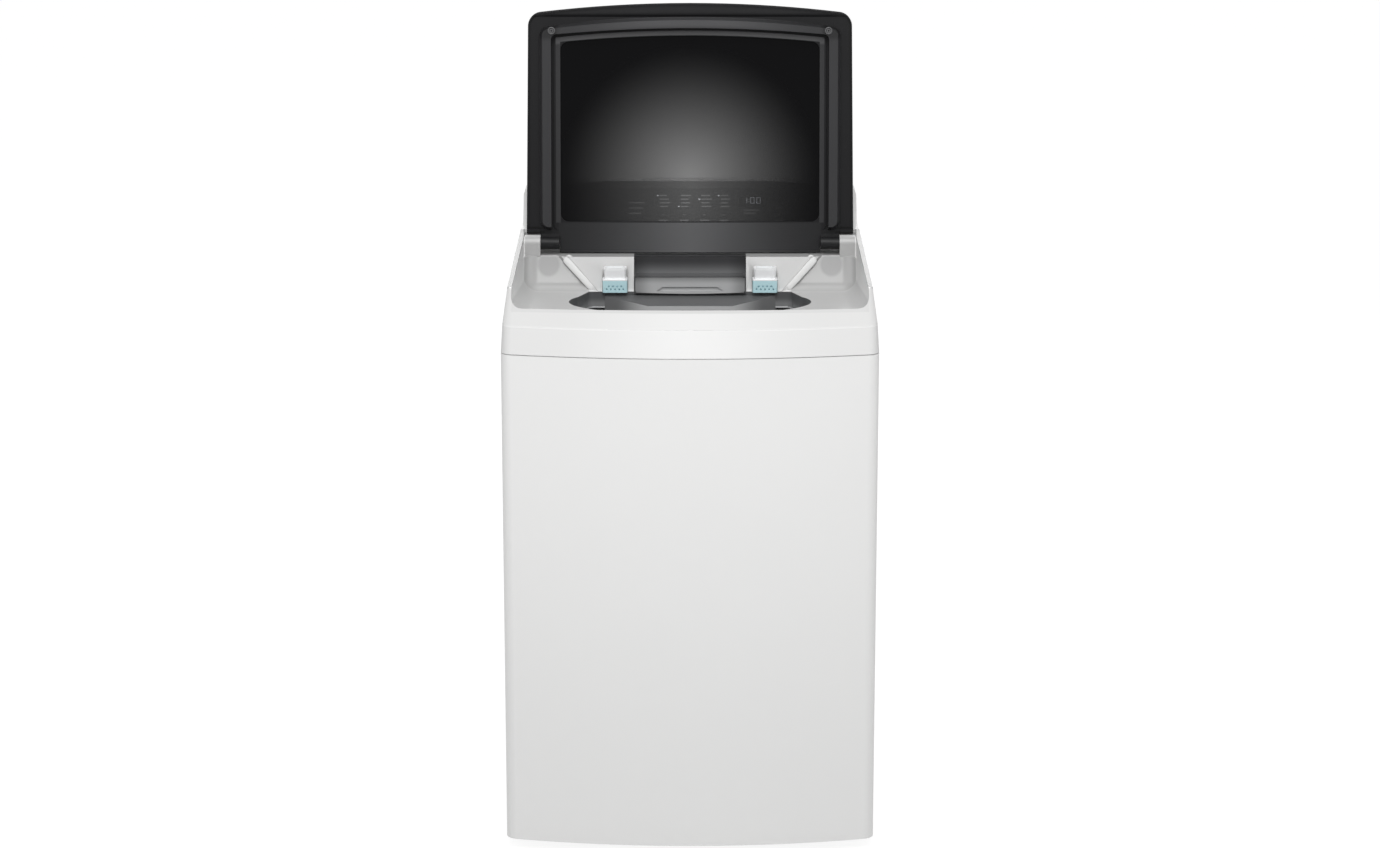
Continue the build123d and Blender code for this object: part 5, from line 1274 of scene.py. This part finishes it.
@dataclass
class Plumbing:
    """Valves, level switch, pump and the soft hose to it, in millimetres."""

    wall: float = 2.5
    fold_out: float = 6.0
    folds: int = 8
    plain: float = 0.12
    around: int = 40
    along: int = 160

    def hose(self, low: np.ndarray, high: np.ndarray) -> np.ndarray:
        """Bellows: radius = outer - out * (1 + cos(2 pi folds m)) / 2, with two plain ends.

        The share m goes from zero to one between the plain ends.

        Args:
            low: lower corner of the hose's box.
            high: upper corner of the hose's box.

        Returns:
            Grid of points along a closed outline by round the axis.
        """
        centre = (low + high) / 2
        outer = (high[0] - low[0]) / 2
        crest = self.fold_out * MM
        s = np.linspace(0.0, 1.0, self.along)
        middle = np.clip((s - self.plain) / (1 - 2 * self.plain), 0.0, 1.0)
        swell = 0.5 * (1 - np.cos(2 * np.pi * self.folds * middle))
        outside = outer - crest + crest * swell
        radius = np.concatenate([outside, outside[::-1] - self.wall * MM])
        height = np.concatenate([s, s[::-1]]) * (high[2] - low[2]) + low[2]
        phi = np.linspace(0.0, 2 * np.pi, self.around, endpoint=False)
        x = centre[0] + radius[:, None] * np.cos(phi)
        y = centre[1] + radius[:, None] * np.sin(phi)
        return np.stack([x, y, np.broadcast_to(height[:, None], x.shape)], axis=-1)

    def build(self, dress: Dress) -> None:
        """Bellows hose between the sump and the pump.

        Args:
            dress: puts finishes on solids and pieces.
        """
        low, high = (np.array(corner, float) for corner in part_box("sump_hose"))
        made = dress.piece(piece_of("sump_bellows", [self.hose(low, high)], Close.RING), RUBBER)
        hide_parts("sump_hose")
        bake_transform(made)

    def dress(self, dress: Dress) -> None:
        """Dress the solids.

        Args:
            dress: puts finishes on solids and pieces.
        """
        dress.solid("inlet_valve_hot", HOT)
        dress.solid("inlet_valve_cold", COLD)
        dress.solid("level_switch", DARK)
        dress.solid("drain_pump", DARK)
        dress.solid("drain_pipe", NATURAL)


@dataclass
class TopCover:
    """White top with its basin, dispenser, filters and chute, in millimetres."""

    edge: float = 1.2
    drawer_edge: float = 0.8
    small_edge: float = 0.5
    bead_high: Point = (210.5, 126.2, 910.0)
    bead_low: Point = (160.9, 97.4, 862.1)
    bead_out: Point = (0.25, -0.85, 0.46)
    bead_w: float = 9.0
    bead_t: float = 3.4
    bead_power: int = 16
    bead_tip: float = 0.0001
    along: int = 48
    around: int = 24
    mouth_r: float = 198.0
    mouth_y: float = -60.0
    mouth_deep: float = 150.0
    mouth_draw: float = 0.18
    lip_section: Tuple[Span, ...] = (
        (3.0, 829.6),
        (3.0, 833.5),
        (0.5, 833.5),
        (0.5, 829.6),
        (0.9, 828.8),
        (1.75, 828.5),
        (2.6, 828.8),
    )
    lip_around: int = 180
    lip_round: float = 60.0

    def bead(self, side: float) -> np.ndarray:
        """Bar with round ends: a + s * (b - a) + e(s) * (w cos p * across + t sin p * out).

        The ends close in as e(s) = (1 - (2s - 1)^power)^0.5.

        Args:
            side: minus one on the left, one on the right.

        Returns:
            Grid of points along the bar by round it.
        """
        turn = np.array((side, 1.0, 1.0))
        ends = (self.bead_high, self.bead_low, self.bead_out)
        high, low, out = (np.array(vector) * turn for vector in ends)
        run = (low - high) / np.linalg.norm(low - high)
        out = out - run * np.dot(run, out)
        out /= np.linalg.norm(out)
        s = 0.5 - 0.5 * np.cos(np.linspace(0.0, np.pi, self.along))[:, None, None]
        p = -np.linspace(0.0, 2 * np.pi, self.around, endpoint=False)[None, :, None]
        swell = np.sqrt(np.maximum(1 - (2 * s - 1) ** self.bead_power, self.bead_tip))
        ring = self.bead_w * np.cos(p) * np.cross(run, out) + self.bead_t * np.sin(p) * out
        return MM * (high + s * (low - high) + swell * ring)

    def lip(self) -> np.ndarray:
        """Soft lip under the mouth's collar: its section is carried round the mouth's outline.

        The outline is r(t) = min(max(R, R / (abs(cos t) + draw * sin t)), deep / sin t) behind the
        centre and R in front of it, with the two rear corners rounded by a power mean.

        Returns:
            Grid of points round the section by round the mouth.
        """
        t = np.linspace(0.0, 2 * np.pi, self.lip_around, endpoint=False)
        back = np.maximum(np.sin(t), 0.0)
        slope = np.maximum(np.abs(np.cos(t)) + self.mouth_draw * back, self.mouth_draw)
        side = np.where(back > 0, self.mouth_r / np.minimum(slope, 1.0), self.mouth_r)
        power = self.lip_round
        reach = (side**-power + (back / self.mouth_deep) ** power) ** (-1 / power)
        grow, z = np.array(self.lip_section).T[:, :, None]
        x = (reach + grow) * np.cos(t)
        y = self.mouth_y + (reach + grow) * np.sin(t)
        return MM * np.stack([x, y, np.broadcast_to(z, x.shape)], axis=-1)

    def build(self, dress: Dress) -> None:
        """Beads along the two sides of the bulkhead and the lip under the collar.

        Args:
            dress: puts finishes on solids and pieces.
        """
        beads = [self.bead(side) for side in SIDES]
        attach(dress.piece(piece_of("bulkhead_beads", beads, Close.TUBE), BEAD), "cabinet")
        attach(dress.piece(piece_of("collar_lip", [self.lip()], Close.RING), PALE), "cabinet")

    def dress(self, dress: Dress) -> None:
        """Dress the solids.

        Args:
            dress: puts finishes on solids and pieces.
        """
        dress.solid("top_cover", COVER, self.edge)
        dress.solid("dispenser_housing", HOOD)
        dress.solid("dispenser_drawer", DRAWER, self.drawer_edge)
        dress.solid("fill_chute", CHUTE, self.small_edge)
        for side in ("left", "right"):
            dress.solid(f"filter_cup_{side}", BLUE, self.small_edge)
            dress.solid(f"filter_cap_{side}", WHITE, self.small_edge)


@dataclass
class Lid:
    """Lid frame with its smoked glass, trim and hinge, in millimetres.

    Each trim screw stands in a round boss.
    """

    frame_edge: float = 0.8
    trim_edge: float = 3.0
    barrel_edge: float = 0.8
    lean: float = 11.742
    screw_r: float = 3.4
    boss_r: float = 5.2
    boss_w: float = 2.6
    boss_t: float = 1.4
    around: int = 32
    section: int = 12

    def boss(self, centre: np.ndarray) -> np.ndarray:
        """Ring about the lid's normal n: c + (r + w / 2 cos p) * (cos a, sin a) + t * sin p * n.

        Args:
            centre: middle of the ring in metres.

        Returns:
            Grid of points round the ring by round its section.
        """
        lean = math.radians(self.lean)
        right = np.array((1.0, 0.0, 0.0))
        up = np.array((0.0, math.sin(lean), math.cos(lean)))
        a = np.linspace(0.0, 2 * np.pi, self.around, endpoint=False)[:, None, None]
        p = -np.linspace(0.0, 2 * np.pi, self.section, endpoint=False)[None, :, None]
        out = np.cos(a) * right + np.sin(a) * up
        reach = self.boss_r + self.boss_w / 2 * np.cos(p)
        return centre + MM * (reach * out + self.boss_t * np.sin(p) * np.cross(right, up))

    def build(self, dress: Dress) -> None:
        """Bosses round the trim screws.

        Args:
            dress: puts finishes on solids and pieces.
        """
        low, high = (np.array(corner, float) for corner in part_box("lid_screws"))
        inset = np.array((high[0] - self.screw_r * MM, 0.0, 0.0))
        middle = (low + high) / 2
        rings = [self.boss(middle + side * inset) for side in SIDES]
        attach(dress.piece(piece_of("screw_bosses", rings, Close.RING), BOSS), "lid")

    def dress(self, dress: Dress) -> None:
        """Dress the solids.

        Args:
            dress: puts finishes on solids and pieces.
        """
        dress.solid("lid_frame", FRAME, self.frame_edge)
        dress.solid("lid_glass", GLASS)
        dress.solid("lid_trim", TRIM, self.trim_edge)
        dress.solid("lid_screws", BOSS)
        dress.solid("hinge_barrels", SATIN, self.barrel_edge)
        dress.solid("hinge_pins", STEEL)


@dataclass
class Console:
    """Control console: housing, fascia, keys and the printed legends, in millimetres.

    A place on the fascia is x to the right and s up its slope.
    """

    housing_edge: float = 1.5
    fascia_edge: float = 0.4
    key_edge: float = 0.5
    origin: Point = (0.0, 172.0, 944.0)
    rise: Point = (0.0, 0.60331, 0.79751)
    proud: float = 0.12
    columns: Tuple[float, ...] = (-46.0, -10.0, 25.0, 58.0)
    end_columns: Tuple[float, ...] = (152.0, 192.0)
    rows: Tuple[float, ...] = (70.0, 63.0, 56.0, 49.0)
    lit_rows: Tuple[int, ...] = (0, 3, 1, 0)
    keys: Tuple[str, ...] = ("program", "level", "rinse", "spin", "start", "power")
    key_proud: float = 1.72
    key_s: float = 32.0
    mark_w: float = 5.0
    mark_h: float = 3.4
    mark_t: float = 1.0
    bar_h: float = 2.0
    option_x: float = -5.5
    option_w: float = 12.0
    name_s: float = 22.5
    name_w: float = 15.0
    end_name_w: float = 13.0
    notes: Tuple[Point, ...] = (
        (-104.0, 56.0, 27.0),
        (-104.0, 46.0, 24.0),
        (-104.0, 36.0, 21.0),
        (92.0, 42.0, 26.0),
        (92.0, 36.0, 20.0),
        (147.5, 47.0, 9.0),
    )
    lamp_x: float = -9.0
    lamp_w: float = 3.0
    lamp_h: float = 1.8
    display_x: float = 106.0
    display_s: float = 60.5
    digit_h: float = 11.0
    digit_w: float = 6.0
    stroke: float = 1.2
    figures: Tuple[Tuple[float, str], ...] = ((-12.0, "bc"), (0.5, "abcdef"), (11.0, "abcdef"))
    colon_x: float = -5.5
    colon_s: float = 2.2

    def on_fascia(self, boxes: np.ndarray, proud: float) -> np.ndarray:
        """Corners of flat boxes on the fascia: origin + x * right + s * rise + proud * normal.

        Args:
            boxes: lines of middle x, middle s, width and height in millimetres.
            proud: height above the fascia in millimetres.

        Returns:
            For each box a two by two grid of points in metres.
        """
        rise = np.array(self.rise)
        right = np.array((1.0, 0.0, 0.0))
        normal = np.cross(right, rise)
        signs = np.array([[[-0.5, -0.5], [-0.5, 0.5]], [[0.5, -0.5], [0.5, 0.5]]])[:, ::-1]
        x = boxes[:, None, None, 0] + signs[..., 0] * boxes[:, None, None, 2]
        s = boxes[:, None, None, 1] + signs[..., 1] * boxes[:, None, None, 3]
        flat = x[..., None] * right + s[..., None] * rise
        return (np.array(self.origin) + flat + proud * normal) * MM

    def legend_boxes(self) -> np.ndarray:
        """Short plain bars beside the lights, under the keys and at the two ends.

        Returns:
            Lines of middle x, middle s, width and height.
        """
        boxes: List[Box] = []
        for column, x in enumerate(self.columns):
            for row, s in enumerate(self.rows):
                length = self.option_w + (5 * column + 3 * row) % 7  # uneven, in a fixed order
                boxes.append((x + self.option_x + length / 2, s, length, self.bar_h))
            boxes.append((x, self.name_s, self.name_w, self.bar_h))
        boxes += [(x, self.name_s, self.end_name_w, self.bar_h) for x in self.end_columns]
        boxes += [(left + length / 2, s, length, self.bar_h) for left, s, length in self.notes]
        return np.array(boxes)

    def lamp_boxes(self) -> np.ndarray:
        """Boxes of the status lights, at the left of the chosen option of every column."""
        lit = [(x + self.lamp_x, self.rows[row]) for x, row in zip(self.columns, self.lit_rows)]
        return np.array([(x, s, self.lamp_w, self.lamp_h) for x, s in lit])

    def digit_boxes(self) -> np.ndarray:
        """Seven segment figures one, colon, nought, nought.

        Returns:
            Lines of middle x, middle s, width and height.
        """
        w, h, t = self.digit_w, self.digit_h, self.stroke
        half = h / 2
        bars = {
            "a": (0.0, half, w, t),
            "d": (0.0, -half, w, t),
            "b": (w / 2, half / 2, t, half),
            "c": (w / 2, -half / 2, t, half),
            "e": (-w / 2, -half / 2, t, half),
            "f": (-w / 2, half / 2, t, half),
        }
        boxes: List[Box] = []
        for shift, lit in self.figures:
            for bar in lit:
                x, s, wide, tall = bars[bar]
                boxes.append((self.display_x + shift + x, self.display_s + s, wide, tall))
        for side in SIDES:
            s = self.display_s + side * self.colon_s
            boxes.append((self.display_x + self.colon_x, s, t, t))
        return np.array(boxes)

    def build(self, dress: Dress) -> None:
        """Legends, lights, figures and the marks on the keys.

        Args:
            dress: puts finishes on solids and pieces.
        """
        sheets = (
            ("console_legends", self.legend_boxes(), INK),
            ("console_lights", self.lamp_boxes(), LAMP),
            ("console_figures", self.digit_boxes(), DIGIT),
        )
        for name, boxes, finish in sheets:
            corners = list(self.on_fascia(boxes, self.proud))
            made = piece_of(name, corners, Close.OPEN, smooth=False)
            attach(dress.piece(made, finish), "cabinet")
        for key, x in zip(self.keys, (*self.columns, *self.end_columns)):
            marks = [(x, self.key_s, self.mark_w, self.mark_t)]
            if x in self.end_columns:
                marks.append((x, self.key_s, self.mark_t, self.mark_h))
            corners = list(self.on_fascia(np.array(marks), self.key_proud))
            made = piece_of(f"mark_{key}", corners, Close.OPEN, smooth=False)
            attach(dress.piece(made, INK), f"key_{key}")

    def dress(self, dress: Dress) -> None:
        """Dress the solids.

        Args:
            dress: puts finishes on solids and pieces.
        """
        dress.solid("console_housing", SHELL, self.housing_edge)
        dress.solid("control_fascia", FASCIA, self.fascia_edge)
        dress.solid("display_window", WINDOW)
        dress.solid("control_board", BOARD)
        for key in self.keys:
            dress.solid(f"key_{key}", KEY, self.key_edge)


@dataclass(frozen=True)
class SoftBox:
    """A square lamp: where it hangs, the point that it looks at, its side and its watts."""

    name: str
    place: Point
    aim: Point
    size: float
    power: float

    def hang(self) -> None:
        """Add the lamp to the scene, turned towards its aim."""
        data = bpy.data.lights.new(self.name, "AREA")
        data.shape = "SQUARE"
        data.size = self.size
        data.energy = self.power
        lamp = bpy.data.objects.new(self.name, data)
        x, y, z = (end - start for start, end in zip(self.place, self.aim))
        lamp.location = self.place
        lamp.rotation_euler = (
            math.pi / 2 + math.atan2(z, math.hypot(x, y)),
            0.0,
            math.atan2(y, x) - math.pi / 2,
        )
        bpy.context.scene.collection.objects.link(lamp)


@dataclass
class Studio:
    """Camera, floor and light."""

    eye: Point = (0.0, -5.510, 1.957)
    tilt: float = 13.35
    lens: float = 88.4
    sensor: float = 36.0
    sight: float = 200.0
    floor_half: float = 40.0
    floor_z: float = -0.0004
    floor_colour: Tuple[float, ...] = (0.9, 0.9, 0.9, 1.0)
    floor_white: float = 0.80
    floor_glow: float = 1.14
    stand: Span = (0.265, 0.235)
    stand_y: float = 0.035
    stand_soft: Span = (-0.04, 0.0)
    ambient: float = 0.50
    lamps: Tuple[SoftBox, ...] = (
        SoftBox("key", (0.0, -2.5, 3.5), (0.0, -0.1, 0.8), 2.2, 78.0),
        SoftBox("back", (0.0, 3.6, 2.8), (0.0, 0.2, 0.8), 2.6, 40.0),
    )

    def camera(self) -> None:
        """Put the camera at the photograph's angle."""
        data = bpy.data.cameras.new("camera")
        data.lens = self.lens
        data.sensor_width = self.sensor
        data.clip_end = self.sight
        camera = bpy.data.objects.new("camera", data)
        camera.location = self.eye
        camera.rotation_euler = (math.radians(90.0 - self.tilt), 0.0, 0.0)
        bpy.context.scene.collection.objects.link(camera)
        bpy.context.scene.camera = camera

    def world(self) -> None:
        """White to the eye and in gloss and glass, soft grey as light."""
        world = bpy.data.worlds.new("studio")
        bpy.context.scene.world = world
        graph = Graph(world)
        rays = ("Is Camera Ray", "Is Transmission Ray", "Is Glossy Ray")
        eye, through, gloss = (graph.node("ShaderNodeLightPath", {}, {}, ray) for ray in rays)
        light, seen = (
            graph.node("ShaderNodeBackground", {}, {"Color": PURE_WHITE, "Strength": strength})
            for strength in (self.ambient, 1.0)
        )
        share = eye.top(through).top(gloss)
        mixed = graph.node("ShaderNodeMixShader", {}, {0: share, 1: light, 2: seen})
        graph.close(mixed, "ShaderNodeOutputWorld")

    def floor(self) -> None:
        """Pale flat floor that keeps the machine's shadow and is unlit where the machine stands."""
        side = np.array((-self.floor_half, self.floor_half))
        x, y = np.meshgrid(side, side[::-1], indexing="ij")
        corners = np.stack([x, y, np.full_like(x, self.floor_z)], axis=-1)
        made = piece_of("floor", [corners], Close.OPEN)
        graph = Graph(bpy.data.materials.new("floor"))
        eye = graph.node("ShaderNodeLightPath", {}, {}, "Is Camera Ray")
        plain = graph.node("ShaderNodeBsdfDiffuse", {}, {"Color": self.floor_colour})
        glow = {"Color": PURE_WHITE, "Strength": self.floor_glow}
        white = graph.node("ShaderNodeEmission", {}, glow)
        _, x, y, _ = graph.place()
        far = (x.size() - self.stand[0]).top((y - self.stand_y).size() - self.stand[1])
        share = self.floor_white * (eye * graph.span(far, *self.stand_soft))
        graph.close(graph.node("ShaderNodeMixShader", {}, {0: share, 1: plain, 2: white}))
        made.data.materials.append(graph.owner)

    def build(self) -> None:
        """Set up the whole studio."""
        self.camera()
        self.world()
        self.floor()
        for lamp in self.lamps:
            lamp.hang()


def main() -> None:
    """Dress the machine and set the studio."""
    logging.basicConfig(level=logging.INFO, format="%(name)s: %(message)s")
    bpy.context.scene.view_settings.view_transform = "Standard"
    Studio().build()
    dress = Dress()
    for group in (Cabinet(), Tub(), Basket(), Drive()):
        group.dress(dress)
    for group in (Suspension(), Plumbing(), TopCover(), Lid(), Console()):
        group.build(dress)
        group.dress(dress)


if __name__ == "__main__":
    main()
